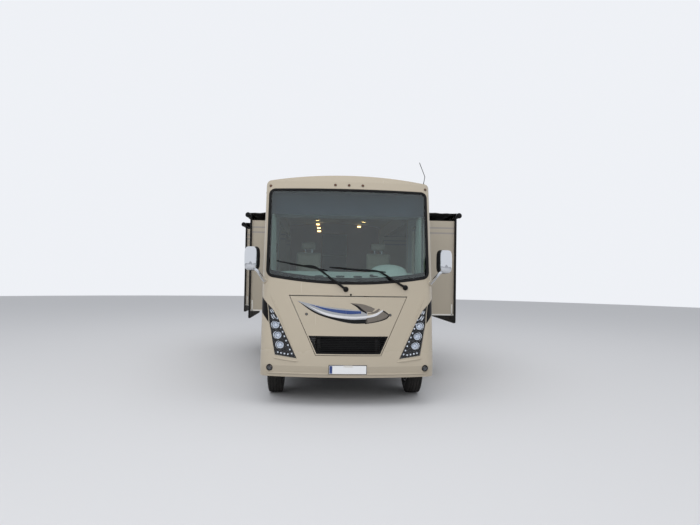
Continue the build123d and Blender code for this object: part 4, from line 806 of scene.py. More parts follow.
def screen_outline(inset_side, inset_top, inset_bottom, radius):
    """The screen's outline taken in at its edges: a rounded rectangle whose sill bows down in its middle."""
    half = SCREEN_HALF - inset_side
    low, high = SCREEN_BOTTOM + inset_bottom, SCREEN_TOP - inset_top
    points, normals = rounded_outline((-half, low), (half, high), radius, steps=8, run=24)
    lower = points[:, 1] < (low + high) / 2
    points[:, 1] -= np.where(lower, SCREEN_DIP * (1 - (points[:, 0] / half) ** 2), 0)
    return points, normals


def add_screen(sizes):
    """A black fired border behind the glass and a rubber seal round it."""
    outer, _ = screen_outline(0.004, 0.004, 0.004, SCREEN_RADIUS)
    inner, _ = screen_outline(sizes.border_side, sizes.border_top, sizes.border_bottom, 0.045)
    share = np.linspace(0, 1, 5)[None, :, None]
    flat = outer[:, None] * (1 - share) + inner[:, None] * share
    behind = spread(flat[..., 0], NOSE + 0.85, flat[..., 1])
    border = dropped(behind, "windshield", towards=-1, lift=0.0015)
    shape = grid(border, wrap_rows=True)
    made = piece("screen_border", [(shape, "frit")], closed=False)
    thickened(made, 0.001, 0)

    first, _ = screen_outline(0.012, 0.012, 0.012, SCREEN_RADIUS - 0.012)
    second, _ = screen_outline(0.024, 0.024, 0.024, SCREEN_RADIUS - 0.024)
    near, far = (on_front(ring, "windshield") for ring in (first, second))
    edge = near + (near - far)
    section = [(-0.030, -0.003), (-0.024, -0.009), (0.0, -0.0125), (0.009, -0.011), (0.013, -0.002), (0.0, 0.004)]
    rows = []
    for offset, depth in section:
        rows.append(edge + (near - far) / 0.012 * offset + (0, depth, 0))
    seal = looped(np.stack(rows))
    piece("screen_seal", [(seal, "rubber")], angle=60)


# Hood.

FILM_THICKNESS = 0.0004
FILM_BANDS = [
    # finish, points of the upper and of the lower edge in X and Z, lift off the paint
    ("black_film", [(0.24, 1.255), (0.41, 1.300), (0.50, 1.354), (0.605, 1.288)],
     [(0.24, 1.158), (0.41, 1.186), (0.55, 1.230), (0.605, 1.288)], 0.0005),
    ("silver", [(-0.75, 1.479), (-0.41, 1.411), (-0.02, 1.368), (0.27, 1.348)],
     [(-0.75, 1.479), (-0.45, 1.290), (-0.02, 1.172), (0.27, 1.165)], 0.0007),
    ("black_film", [(-0.75, 1.479), (-0.41, 1.300), (-0.02, 1.222), (0.27, 1.226)],
     [(-0.75, 1.479), (-0.45, 1.288), (-0.02, 1.174), (0.27, 1.164)], 0.0010),
    ("taupe", [(0.25, 1.236), (0.41, 1.280), (0.49, 1.334), (0.585, 1.288)],
     [(0.25, 1.168), (0.41, 1.197), (0.54, 1.240), (0.585, 1.288)], 0.0010),
    ("bright_film", [(-0.60, 1.412), (-0.30, 1.305), (0.05, 1.262), (0.33, 1.288), (0.50, 1.362)],
     [(-0.60, 1.412), (-0.30, 1.268), (0.05, 1.232), (0.36, 1.262), (0.50, 1.340)], 0.0014),
    ("blue", [(-0.58, 1.432), (-0.30, 1.376), (-0.02, 1.348), (0.18, 1.340)],
     [(-0.58, 1.432), (-0.30, 1.340), (-0.02, 1.298), (0.18, 1.305)], 0.0014),
    ("taupe", [(0.02, 1.456), (0.19, 1.443), (0.31, 1.410), (0.385, 1.376)],
     [(0.02, 1.456), (0.12, 1.408), (0.21, 1.342), (0.34, 1.330)], 0.0014),
    ("black_film", [(0.02, 1.456), (0.13, 1.420), (0.20, 1.368), (0.27, 1.318)],
     [(0.02, 1.456), (0.11, 1.402), (0.17, 1.350), (0.26, 1.306)], 0.0018),
    ("taupe", [(0.28, 1.312), (0.37, 1.338), (0.44, 1.382)], [(0.28, 1.300), (0.40, 1.318), (0.46, 1.368)], 0.0018),
]


def film_band(upper, lower):
    """A flat band between two smooth edges: (1 - v) x lower + v x upper, at equal shares of their points."""
    share = np.linspace(0, 1, 73)
    edges = []
    for points in (lower, upper):
        curve = smooth_path(points, 16)
        at = np.linspace(0, 1, len(curve))
        edges.append(np.stack([np.interp(share, at, curve[:, 0]), np.interp(share, at, curve[:, 1])], -1))
    v = np.linspace(0, 1, 6)[None, :, None]
    return edges[0][:, None] * (1 - v) + edges[1][:, None] * v


def add_hood_details():
    """Curved film bands, two push latches and the washer nozzle above the hood."""
    parts = []
    for finish, upper, lower, lift in FILM_BANDS:
        flat = film_band(upper, lower)
        parts.append((grid(on_front(flat, "hood", lift=lift)), finish))
    made = piece("hood_bands", parts, body="hood", closed=False)
    thickened(made, FILM_THICKNESS)
    latches = []
    for x in (-0.607, 0.607):
        centre = on_front([(x, 1.288)], "hood")[0]
        rim = [(0.0, 0.019), (-0.004, 0.019), (-0.006, 0.016), (-0.004, 0.013), (-0.002, 0.012)]
        latches.append((lathe(rim, centre, AFT, 32), "trim"))
        button = [(0.001, 0.011), (-0.005, 0.011), (-0.0065, 0.009), (-0.0068, 0.003)]
        latches.append((lathe(button, centre, AFT, 24), "grey"))
    piece("hood_latches", latches, body="hood")
    nozzle = on_front([(0.03, 1.575)], "front_cap")[0]
    body = [(0.002, 0.014), (-0.006, 0.014), (-0.012, 0.011), (-0.016, 0.005)]
    piece("washer_nozzle", [(lathe(body, nozzle, AFT, 24), "trim")])


# Mouldings of the mask: a crease beside each lamp, the ledge below it, and the lip along the bottom.

CREASE = [(1.160, 1.600), (1.020, 1.310), (0.880, 1.000), (0.742, 0.700)]
LEDGE = [(1.085, 0.668), (0.960, 0.652), (0.820, 0.634), (0.690, 0.622)]
LIP_HEIGHT = 0.452
LIP_HALF = 1.17


def moulding(points, radius):
    """A half-sunk round ridge over the mask: a tube along places in X and Z, thinned out at both ends."""
    curve = smooth_path(points, 16)
    path = on_front(curve, "front_cap")
    fade = np.clip(np.minimum(np.arange(len(path)), np.arange(len(path))[::-1]) / 8 + 0.15, 0, 1)
    return tube(path + (0, 0.2 * radius, 0), radius * fade, 12, up=AFT)


def add_mask_mouldings():
    """Ridges in the mask's paint."""
    lip = [(x, LIP_HEIGHT) for x in np.linspace(-LIP_HALF, LIP_HALF, 25)]
    shapes = [both(moulding(CREASE, 0.010)), both(moulding(LEDGE, 0.018)), moulding(lip, 0.016)]
    piece("mask_mouldings", [(shapes, "cap_paint")])


# Wipers: pivot, knee, and the blade's two ends, in X and Z.
WIPERS = [
    ((-0.044, 1.652), (-0.490, 1.971), (-1.066, 2.058), (-0.314, 1.922)),
    ((0.841, 1.688), (0.438, 1.921), (-0.287, 1.974), (0.546, 1.914))
]


def add_wiper_details():
    """Over each wiper: a domed cap and a tapered cover on its arm, and a blade, thinner at its ends, with its
    bridge.
    """
    caps, covers, blades = [], [], []
    for pivot, knee, start, end in WIPERS:
        x, y, z = on_front([pivot], "front_cap")[0]
        dome = [(0.004, 0.040), (-0.012, 0.039), (-0.030, 0.032), (-0.041, 0.022), (-0.044, 0.006)]
        caps.append(lathe(dome, (x, y, z), AFT, 36))
        middle = ((start[0] + end[0]) / 2, (start[1] + end[1]) / 2)
        flat = np.array([pivot, (0.6 * pivot[0] + 0.4 * knee[0], 0.6 * pivot[1] + 0.4 * knee[1]), knee, middle])
        ahead = np.array([0.034, 0.036, 0.028, 0.020])
        on_screen = on_front(flat, "windshield")
        on_screen[0] = on_front(flat[:1], "front_cap")[0]
        line = smooth_path(on_screen - spread(0, ahead, 0), 10)
        covers.append(tube(
            line, np.interp(np.linspace(0, 1, len(line)), [0, 0.45, 1], [0.019, 0.013, 0.009]), 12, up=AFT
        ))
        run = np.linspace(0, 1, 25)
        flat = np.array(start) + run[:, None] * (np.array(end) - np.array(start))
        glass_line = on_front(flat, "windshield")
        blades.append(tube(glass_line - (0, 0.012, 0), 0.012 - 0.005 * np.abs(2 * run - 1) ** 4, 8, up=AFT))
        bridge = glass_line[6:19] - spread(0, 0.016 + 0.012 * np.sin(np.pi * (run[6:19] - run[6]) / 0.5), 0)
        blades.append(tube(bridge, 0.0065, 8, up=AFT))
    piece("wiper_covers", [(caps, "gloss_black"), (covers, "trim"), (blades, "rubber")])


# Headlamps.

LAMP_INNER_EDGE = [
    (1.030, 1.215), (1.003, 1.150), (0.976, 1.087), (0.948, 1.024), (0.920, 0.962), (0.892, 0.900), (0.864, 0.838),
    (0.836, 0.777), (0.808, 0.722)
]
LAMP_LOWER_EDGE = [(0.862, 0.712), (0.912, 0.719), (0.962, 0.727), (1.010, 0.736)]
LAMP_DEPTH = 0.045
# Bright blades above the bowls: the lower and upper end of each, in X and Z.
LAMP_BLADES = [
    ((1.055, 1.215), (1.100, 1.275)), ((1.085, 1.205), (1.125, 1.265)), ((1.085, 1.300), (1.120, 1.350)),
    ((1.112, 1.290), (1.140, 1.340))
]


def add_headlamp_details():
    """Rows of diodes along two edges, bright crescents and blades by the bowls, and bulb domes."""
    faces = on_front(LAMP_INNER_EDGE + LAMP_LOWER_EDGE, "headlamp_lenses")
    dome = [(0.004, 0.0085), (-0.003, 0.0085), (-0.006, 0.0065), (-0.008, 0.0035), (-0.0085, 0.001)]
    cup = [(0.006, 0.0135), (-0.003, 0.0135), (-0.004, 0.0118), (-0.001, 0.0098)]
    parts = []
    for x, y, z in faces:
        centre = (x, y + LAMP_DEPTH - 0.004, z)
        parts.append((both(lathe(dome, centre, AFT, 20)), "led"))
        parts.append((both(lathe(cup, centre, AFT, 20)), "chrome"))
    for x, y, z in on_front(LAMP_ROUNDS, "headlamp_lenses"):
        bulb = [(0.03, 0.026), (0.008, 0.026), (0.0, 0.022), (-0.005, 0.013), (-0.007, 0.004)]
        parts.append((both(lathe(bulb, (x, y + LAMP_DEPTH, z), AFT, 32)), "clear_lens"))
        rim = [(0.012, 0.050), (-0.022, 0.052), (-0.026, 0.050), (-0.024, 0.047), (0.008, 0.044)]
        parts.append((both(lathe(rim, (x, y + LAMP_DEPTH, z), AFT, 40)), "chrome"))
        turn = np.linspace(math.radians(-62), math.radians(70), 25)
        reach = 0.060 + 0.004 * np.cos(turn)
        path = spread(x + reach * np.cos(turn), y + LAMP_DEPTH - 0.012, z + reach * np.sin(turn))
        radius = 0.0015 + 0.0075 * np.sin(np.linspace(0, math.pi, 25))
        parts.append((both(tube(path, radius, 10, up=AFT)), "chrome"))
    for low, high in LAMP_BLADES:
        ends = on_front([low, high], "headlamp_lenses")
        run = np.linspace(0, 1, 9)[:, None]
        path = ends[0] + (ends[1] - ends[0]) * run + (0, LAMP_DEPTH * 0.6, 0)
        parts.append((
            both(tube(path, 0.004 + 0.009 * np.sin(np.pi * (0.1 + 0.8 * run[:, 0])), 10, up=AFT)), "chrome"
        ))
    piece("headlamp_optics", parts)


# Round lamps of the mask.

MARKERS = [(-1.2, 3.218), (-0.21, 3.235), (0.0, 3.235), (0.21, 3.235), (1.2, 3.218)]
LOW_LAMPS = [(-1.12, 0.527), (1.12, 0.527)]


def add_mask_lamps():
    """A base ring round each roof marker and a deep ring round each low lamp."""
    parts = []
    for index, (x, y, z) in enumerate(on_front(MARKERS + LOW_LAMPS, "marker_lamps")):
        low = index >= len(MARKERS)
        radius = 0.034 if low else 0.016
        width = 0.014 if low else 0.005
        rim = [
            (0.020, radius + width), (0.010, radius + width), (-0.002 if low else 0.004, radius + width * 0.55),
            (0.004, radius + 0.001), (0.020, radius + 0.001)
        ]
        parts.append((ring(rim, (x, y, z), AFT, 36), "trim"))
        if low:
            dome = [(0.010, 0.030), (-0.001, 0.030), (-0.008, 0.022), (-0.011, 0.010), (-0.0115, 0.002)]
            parts.append((lathe(dome, (x, y, z), AFT, 36), "clear_lens"))
    piece("mask_lamp_rings", parts)


# Number plates.


def add_plates():
    """A bare front plate with a blue end band in a black tray, and a bare rear plate with a lamp over it."""
    low, high = (-0.273, 0.459), (0.256, 0.575)
    ahead = on_front([low, high, (0.0, low[1])], "front_cap")[:, 1].min() - 0.004

    def on_face(u, v, w):
        return spread(u, ahead - w, v)

    tray, normals = rounded_outline(np.array(low) - 0.008, np.array(high) + 0.008, 0.01)
    face, _ = rounded_outline(low, high, 0.006)
    blue, _ = rounded_outline((low[0] + 0.003, low[1] + 0.003), (low[0] + 0.046, high[1] - 0.003), 0.004)
    parts = [
        (panel(tray, -0.03, 0.002, on_face), "trim"), (panel(face, 0.002, 0.0045, on_face), "plate"),
        (panel(blue, 0.0045, 0.0050, on_face), "blue")
    ]
    rim = [(0.0, 0.0045), (0.0, 0.006), (-0.004, 0.006), (-0.005, 0.0045)]
    parts.append((sweep(face, normals[: len(face)], rim, on_face), "plate"))
    piece("front_plate", parts)
    rear_low, rear_high = np.array((-0.26, 0.72)), np.array((0.26, 0.83))
    tray, normals = rounded_outline(rear_low - 0.01, rear_high + 0.01, 0.01)
    face, _ = rounded_outline(rear_low, rear_high, 0.006)
    parts = [
        (panel(tray, -0.002, 0.004, on_rear), "trim"), (panel(face, 0.004, 0.0065, on_rear), "plate"),
        (slab((-0.06, BACK - 0.002, 0.855), (0.06, BACK + 0.035, 0.885), 0.008), "trim"),
        (slab((-0.04, BACK + 0.004, 0.850), (0.04, BACK + 0.030, 0.858), 0.003), "white_lens")
    ]
    piece("rear_plate", parts)


# Mirrors.

MIRROR_HEIGHT = 2.0825
MIRROR_HALF = 0.11
MIRROR_FOOT = (1.235, 1.76)


def superellipse(half_width, half_height, power, steps):
    """Points round a superellipse: |x/a|^p + |z/b|^p = 1."""
    turn = angles(steps)
    c, s = np.cos(turn), np.sin(turn)
    return np.stack(
        [half_width * np.sign(c) * np.abs(c) ** (2 / power), half_height * np.sign(s) * np.abs(s) ** (2 / power)],
        -1
    )


def add_mirrors():
    """Chrome shells with a black inner side and a glass, on an arm and a foot at each front corner."""
    x_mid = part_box("mirrors")[1].x - MIRROR_HALF
    front, back = NOSE + 0.13, NOSE + 0.26
    z_mid = MIRROR_HEIGHT
    share = np.array([0.0, 0.04, 0.12, 0.25, 0.42, 0.62, 0.82, 1.0])
    swell = np.sqrt(1 - (1 - share) ** 2.4)

    def shell(middle_x, half_x, half_z, first, last):
        outline = superellipse(half_x, half_z, 4.2, 56)
        rows = []
        for depth, grown in zip(share, swell):
            size = 0.35 + 0.65 * grown
            rows.append(spread(
                middle_x + outline[:, 0] * size, first + (last - first) * depth,
                z_mid + outline[:, 1] * (0.55 + 0.45 * grown)
            ))
        return capped(np.stack(rows))

    chrome = shell(x_mid + 0.012, 0.098, 0.172, front, back - 0.035)
    black = shell(x_mid - 0.004, 0.106, 0.1765, front + 0.022, back)
    outline = superellipse(0.094, 0.163, 4.2, 56)
    glass_rows = [
        spread(x_mid - 0.004 + outline[:, 0] * size, back + height, z_mid + outline[:, 1] * size)
        for size, height in ((1.0, -0.002), (1.0, -0.0004), (0.97, 0.0))
    ]
    face = capped(np.stack(glass_rows))
    foot = on_front([MIRROR_FOOT], "front_cap")[0]
    arm = smooth_path([
        foot + (0, -0.02, 0), foot + (0.012, -0.045, 0.012), (1.325, front + 0.05, 1.90),
        (1.375, front + 0.07, 1.935)
    ])
    arm_radius = np.linspace(0.027, 0.019, len(arm))
    base = [(0.03, 0.045), (-0.008, 0.045), (-0.022, 0.038), (-0.034, 0.026), (-0.04, 0.01)]
    parts = [
        (both(chrome), "chrome"), (both(black), "trim"), (both(face), "mirror_face"),
        (both(tube(arm, arm_radius, 16)), "chrome"), (both(lathe(base, foot, AFT, 36)), "cap_paint")
    ]
    made = piece("mirror_heads", parts)
    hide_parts("mirrors")


# Wheels.

AXLE_HEIGHT = 0.475
TREAD_GROOVES = (-0.066, -0.024, 0.024, 0.066)
NUT_CIRCLE = 0.143
NUT_COUNT = 10


def tyre_shape(middle, y, sizes, steps=200):
    """A beaded section turned about the axle, its tread dipping at grooves and at slanting sipes."""
    sidewall = [
        (0.081, 0.2868), (0.090, 0.290), (0.096, 0.300), (0.102, 0.316), (0.110, 0.340), (0.1165, 0.358),
        (0.1195, 0.377), (0.1185, 0.394), (0.1165, 0.400), (0.1165, 0.404), (0.1145, 0.417), (0.1105, 0.435),
        (0.1055, 0.450), (0.1015, 0.462)
    ]
    half_tread = np.linspace(0.096, 0.0, 33)
    across = np.concatenate([
        [w for w, _ in sidewall], half_tread, -half_tread[-2::-1], [-w for w, _ in sidewall[::-1]]
    ])
    radius = np.concatenate([[r for _, r in sidewall], 0.4748 - 0.004 * (half_tread / 0.096) ** 2])
    radius = np.concatenate([radius, radius[len(sidewall):-1][::-1], [r for _, r in sidewall[::-1]]])
    turn = angles(steps)
    groove = np.zeros_like(across)
    for place in TREAD_GROOVES:
        groove = np.maximum(groove, np.clip(1.6 - np.abs(across - place) / 0.0036, 0, 1))
    on_tread = (np.abs(across) < 0.0965) & (radius > 0.46)
    wave = np.sin(turn[None, :] * sizes.sipes + np.abs(across[:, None]) * 40)
    sipe = np.clip((wave - 0.72) * 6, 0, 1) * (np.abs(across[:, None]) > 0.03)
    depth = on_tread[:, None] * (
        sizes.tread_depth * groove[:, None] + 0.5 * sizes.tread_depth * sipe * (1 - groove[:, None])
    )
    shoulder = (radius > 0.44) & ~on_tread
    lug = np.clip(np.sin(turn[None, :] * sizes.sipes / 2) * 4, 0, 1) * shoulder[:, None] * 0.0025
    reach = radius[:, None] - depth - lug
    points = spread(middle + across[:, None], y + reach * np.cos(turn), AXLE_HEIGHT + reach * np.sin(turn))
    inner = points[[0, -1]].copy()
    return looped(np.concatenate([points, inner[::-1]])[:-1])


def add_wheel(name, plural, tyres, nut_face, side, sizes):
    """Treaded tyres in place of the plain ones, and wheel nuts, an oil cap and a valve on the rim."""
    body, rim_node, tyre_node = f"{name}_wheel{plural}", f"{name}_rim{plural}", f"{name}_tyre{plural}"
    low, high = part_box(tyre_node)
    y = (low.y + high.y) / 2
    shapes = [(tyre_shape(side * middle, y, sizes), "tyre") for middle in tyres]
    made = piece(f"{name}_tread", shapes, body=body, angle=50)
    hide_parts(tyre_node)
    nuts = []
    nut = [(-0.004, 0.0205), (0.003, 0.0205), (0.004, 0.0165), (0.022, 0.0165), (0.025, 0.0135), (0.0255, 0.006)]
    for angle in angles(NUT_COUNT):
        centre = (side * nut_face, y + NUT_CIRCLE * math.cos(angle), AXLE_HEIGHT + NUT_CIRCLE * math.sin(angle))
        nuts.append(lathe(nut, centre, (side, 0, 0), 12))
    hub_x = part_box(rim_node)[1 if side > 0 else 0].x
    cap_face = abs(hub_x) if name.startswith("front") else nut_face + 0.11
    cap = [
        (-0.006, 0.060), (0.002, 0.060), (0.004, 0.056), (0.008, 0.040), (0.014, 0.038), (0.016, 0.034),
        (0.0165, 0.010)
    ]
    centre = (side * (cap_face - 0.012), y, AXLE_HEIGHT)
    valve = smooth_path(
        [
            (side * (nut_face + 0.01), y, AXLE_HEIGHT - 0.255), (side * (nut_face + 0.025), y, AXLE_HEIGHT - 0.245),
            (side * (nut_face + 0.05), y, AXLE_HEIGHT - 0.235)
        ],
        6
    )
    edges = [abs(middle) + 0.105 for middle in tyres[:1]] + [abs(tyres[-1]) - 0.105]
    flange = [
        (-0.010, 0.284), (-0.012, 0.296), (-0.004, 0.2985), (0.001, 0.296), (0.002, 0.288), (0.0, 0.278),
        (-0.006, 0.275)
    ]
    flanges = [
        ring(flange, (side * edge, y, AXLE_HEIGHT), (side * way, 0, 0), 96) for edge, way in zip(edges, (1, -1))
    ]
    parts = [
        (nuts, "chrome"), (lathe(cap, centre, (side, 0, 0), 40), "chrome"), (flanges, "steel"),
        (tube(valve, 0.0045, 8), "dull_steel")
    ]
    piece(f"{name}_nuts", parts, body=body)


def add_wheels(sizes):
    """All wheels: single at the front, twin at the rear."""
    for side, word in ((1, "left"), (-1, "right")):
        add_wheel(f"front_{word}", "", (1.08,), 1.160, side, sizes)
        add_wheel(f"rear_{word}", "s", (1.095, 0.805), 0.964, side, sizes)


# Slide toppers: black cloth from a rail on the wall over a roller on the slide room.

ROLLER_RADIUS = 0.042
CAP_REACH = 0.014


def add_toppers():
    """A sagging cloth over each slide room, its wall rail, and a cap and ring at each roller's end."""
    rails = []
    for node, (side, travel) in SLIDES.items():
        low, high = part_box(node + "_topper")
        roller_x = side * ((high.x if side > 0 else -low.x) - 0.05)
        roller_z = high.z - 0.05
        start, end = low.y + 0.028, high.y - 0.028
        reach = abs(roller_x)
        turn = np.linspace(0, math.radians(115), 9)
        lift = ROLLER_RADIUS + 0.0015
        flat = np.linspace(0, 1, 21)[:-1]
        top = roller_z + ROLLER_RADIUS + 0.04
        x = np.concatenate([WALL + 0.011 + (reach - WALL - 0.011) * flat, reach + lift * np.sin(turn)])
        z = np.concatenate([top - 0.004 + (roller_z + lift - top + 0.004) * flat, roller_z + lift * np.cos(turn)])
        along = np.linspace(start, end, 61)
        hang = np.concatenate([np.sin(np.pi * flat), np.zeros(len(turn))])[:, None]
        span = (reach - WALL)
        ripple = 0.5 + 0.5 * np.cos((along - start) / (end - start) * FULL_TURN * 3)
        sag = hang * (0.012 * span + 0.006 * ripple[None, :] + 0.004 * np.sin(x[:, None] * 31 + along[None, :] * 2))
        points = spread(side * x[:, None], along, z[:, None] - sag)
        shape = grid(points)
        made = piece(
            f"{node}_topper_cloth", [(shape if side > 0 else (shape[0], shape[1][:, ::-1], shape[2]), "topper")],
            closed=False
        )
        thickened(made, 0.0012)
        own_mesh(made)
        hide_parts("topper_fabrics")
        rails.append(slab(
            (side * (WALL - 0.001), start - 0.01, top - 0.024), (side * (WALL + 0.022), end + 0.01, top), 0.004
        ))
        cap = [
            (-0.004, 0.046), (0.0, 0.050), (0.006, 0.0505), (0.010, 0.046), (0.011, 0.040), (0.016, 0.038),
            (0.024, 0.030), (0.028, 0.014)
        ]
        band = [(0.004, 0.0500), (0.004, 0.0525), (0.009, 0.0530), (0.012, 0.0500), (0.0105, 0.0455)]
        ends = [
            ((roller_x, low.y + CAP_REACH, roller_z), (0, -1, 0)), ((roller_x, high.y - CAP_REACH, roller_z), AFT)
        ]
        caps = [lathe(cap, centre, axis, 40) for centre, axis in ends]
        rings = [ring(band, centre, axis, 40) for centre, axis in ends]
        piece(f"{node}_roller_ends", [(caps, "trim"), (rings, "aluminium")], body=node)
    piece("topper_rails", [(rails, "aluminium")])


# Windows, seals and hardware on the sides.

# Wall windows: side, front and rear distance from the nose, sill and head.
WALL_WINDOWS = [
    (1, 0.95, 1.90, 1.76, 2.74), (-1, 0.95, 1.80, 1.76, 2.74), (1, 6.55, 7.45, 1.80, 2.50),
    (1, 8.10, 9.10, 1.80, 2.50), (-1, 8.10, 9.10, 1.80, 2.50)
]
SLIDE_WINDOWS = {
    "left_slide": [(2.70, 3.90, 1.80, 2.55), (4.55, 5.65, 1.95, 2.55)],
    "right_front_slide": [(3.25, 4.50, 1.85, 2.50)]
}
FRAME_SECTION = [
    (-0.020, -0.0035), (-0.020, 0.001), (-0.010, 0.006), (0.004, 0.0085), (0.012, 0.006), (0.014, 0.0),
    (0.0, -0.0002)
]


def window_frame(side, start, end, sill, head, base, slider=True):
    """A black frame round a window and, where it slides, a post in its middle and a latch."""
    outline, normals = rounded_outline((station(start), sill), (station(end), head), WINDOW_RADIUS)
    place = on_side(side, base)
    shapes = [sweep(outline, normals, FRAME_SECTION, place)]
    if slider:
        middle = station((start + end) / 2)
        shapes.append(slab(
            (side * (base - 0.0035), middle - 0.016, sill + 0.018),
            (side * (base + 0.001), middle + 0.016, head - 0.018), 0.002
        ))
        shapes.append(slab(
            (side * (base - 0.003), middle - 0.03, (sill + head) / 2 - 0.04),
            (side * (base + 0.006), middle - 0.018, (sill + head) / 2 + 0.04), 0.003
        ))
    return merged(*shapes)


def add_windows():
    """Frames round all windows, and rubber seals round the slide rooms' openings and edges."""
    frames = [window_frame(side, *spans, WALL) for side, *spans in WALL_WINDOWS]
    rear, normals = rounded_outline((-0.56, 1.85), (0.56, 2.45), 0.03)
    frames.append(sweep(rear, normals, FRAME_SECTION, on_rear))
    piece("window_frames", [(frames, "trim")])
    seals = []
    for node, (side, _) in SLIDES.items():
        low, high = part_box(node)
        out = high.x if side > 0 else -low.x
        inner, outer = low.y + FASCIA_OVERLAP, high.y - FASCIA_OVERLAP
        opening, normals = rounded_outline(
            (inner - 0.007, ROOM_LOW - 0.007), (outer + 0.007, ROOM_HIGH + 0.007), 0.004
        )
        section = [(0.001, 0.0), (0.002, 0.003), (0.010, 0.0042), (0.024, 0.0032), (0.030, 0.0)]
        seals.append(sweep(opening, normals, section, on_side(side)))
        edge, normals = rounded_outline((low.y, FASCIA_LOW), (high.y, FASCIA_HIGH), 0.04)
        trim = [
            (-0.012, -0.0005), (-0.012, 0.002), (-0.002, 0.004), (0.003, 0.0), (0.0035, -0.028), (0.0, -0.030),
            (-0.0002, -0.001)
        ]
        parts = [(sweep(edge, normals, trim, on_side(side, out)), "trim")]
        for end, way in ((inner, -1), (outer, 1)):
            foot = slab(
                (side * 1.30, end - way * 0.001, 1.1505), (side * (out - FASCIA), end + way * 0.003, 1.176), 0.001
            )
            post = slab(
                (side * (out - FASCIA - 0.045), end - way * 0.001, 1.16),
                (side * (out - FASCIA - 0.020), end + way * 0.003, 1.36), 0.001
            )
            parts += [(foot, "white"), (post, "white")]
        for spans in SLIDE_WINDOWS.get(node, ()):
            parts.append((window_frame(side, *spans, out), "trim"))
        piece(f"{node}_trim", parts, body=node)
    piece("slide_seals", [(seals, "rubber")])
    pane, normals = rounded_outline((station(2.19), 1.78), (station(2.62), 2.28), WINDOW_RADIUS)
    place = on_side(-1)
    handle = [
        (sweep(pane, normals, FRAME_SECTION, place), "trim"),
        (slab((-WALL + 0.001, station(2.655), 1.34), (-WALL - 0.006, station(2.725), 1.56), 0.003), "trim"),
        (slab((-WALL - 0.004, station(2.668), 1.40), (-WALL - 0.034, station(2.712), 1.425), 0.006), "trim"),
        (slab((-WALL - 0.024, station(2.664), 1.36), (-WALL - 0.036, station(2.716), 1.415), 0.005), "chrome"),
        (
            lathe(
                [(-0.002, 0.020), (0.006, 0.020), (0.009, 0.016), (0.010, 0.004)],
                (-WALL - 0.004, station(2.69), 1.505), (-1, 0, 0), 28
            ),
            "chrome"
        )
    ]
    piece("entry_door_handle", handle, body="entry_door")


# Bay doors: body, side, front and rear distance from the nose.
BAYS = [
    ("left_front_bay_door", 1, 3.0, 4.3), ("left_rear_bay_door", 1, 4.6, 5.9),
    ("right_front_bay_door", -1, 3.0, 4.3), ("right_rear_bay_door", -1, 4.6, 5.9)
]


def louvres(side, start, end, low, high, count):
    """A framed panel of slanting slats on a side wall."""
    outline, normals = rounded_outline((start, low), (end, high), 0.012)
    place = on_side(side)
    rim = [(-0.016, 0.0), (-0.016, 0.006), (-0.006, 0.010), (0.006, 0.008), (0.010, 0.0)]
    shapes = [sweep(outline, normals, rim, place), panel(outline, -0.0002, 0.0012, place)]
    pitch = (high - low - 0.03) / count
    v = low + 0.015 + pitch * np.arange(count)[:, None, None]
    profile = np.array([(0.0, 0.001), (0.35 * pitch, 0.010), (0.80 * pitch, 0.0035), (0.82 * pitch, 0.001)])
    for row in v[:, 0, 0]:
        u = np.array([start + 0.012, end - 0.012])
        shapes.append(capped(place(u[:, None], row + profile[:, 0], profile[:, 1])))
    return merged(*shapes)


def hatch(side, y, z, half_y, half_z):
    """A small hinged cover in a rim, and its round lock."""
    outline, normals = rounded_outline((y - half_y, z - half_z), (y + half_y, z + half_z), 0.018)
    cover, _ = rounded_outline(
        (y - half_y + 0.006, z - half_z + 0.006), (y + half_y - 0.006, z + half_z - 0.006), 0.014
    )
    place = on_side(side)
    rim = [(0.004, -0.0005), (0.004, 0.004), (-0.002, 0.006), (-0.005, 0.004), (-0.005, -0.0005)]
    lock = lathe(
        [(0.0, 0.013), (0.005, 0.013), (0.007, 0.010), (0.0075, 0.003)],
        (side * (WALL + 0.004), y + half_y - 0.03, z), (side, 0, 0), 24
    )
    return (sweep(outline, normals, rim, place), panel(cover, -0.001, 0.0045, place), lock)


FRONT_AXLE, REAR_AXLE = -3.9, 1.89
ARCH_RADIUS = 0.60
FLAPS = (-3.262, 2.53)
# Marker lamps: distance from the nose, height and finish.
SIDE_MARKERS = [
    (2.22, 0.62, "amber"), (4.45, 0.62, "amber"), (9.62, 0.62, "red"), (0.95, 3.06, "amber"), (9.60, 3.06, "red")
]


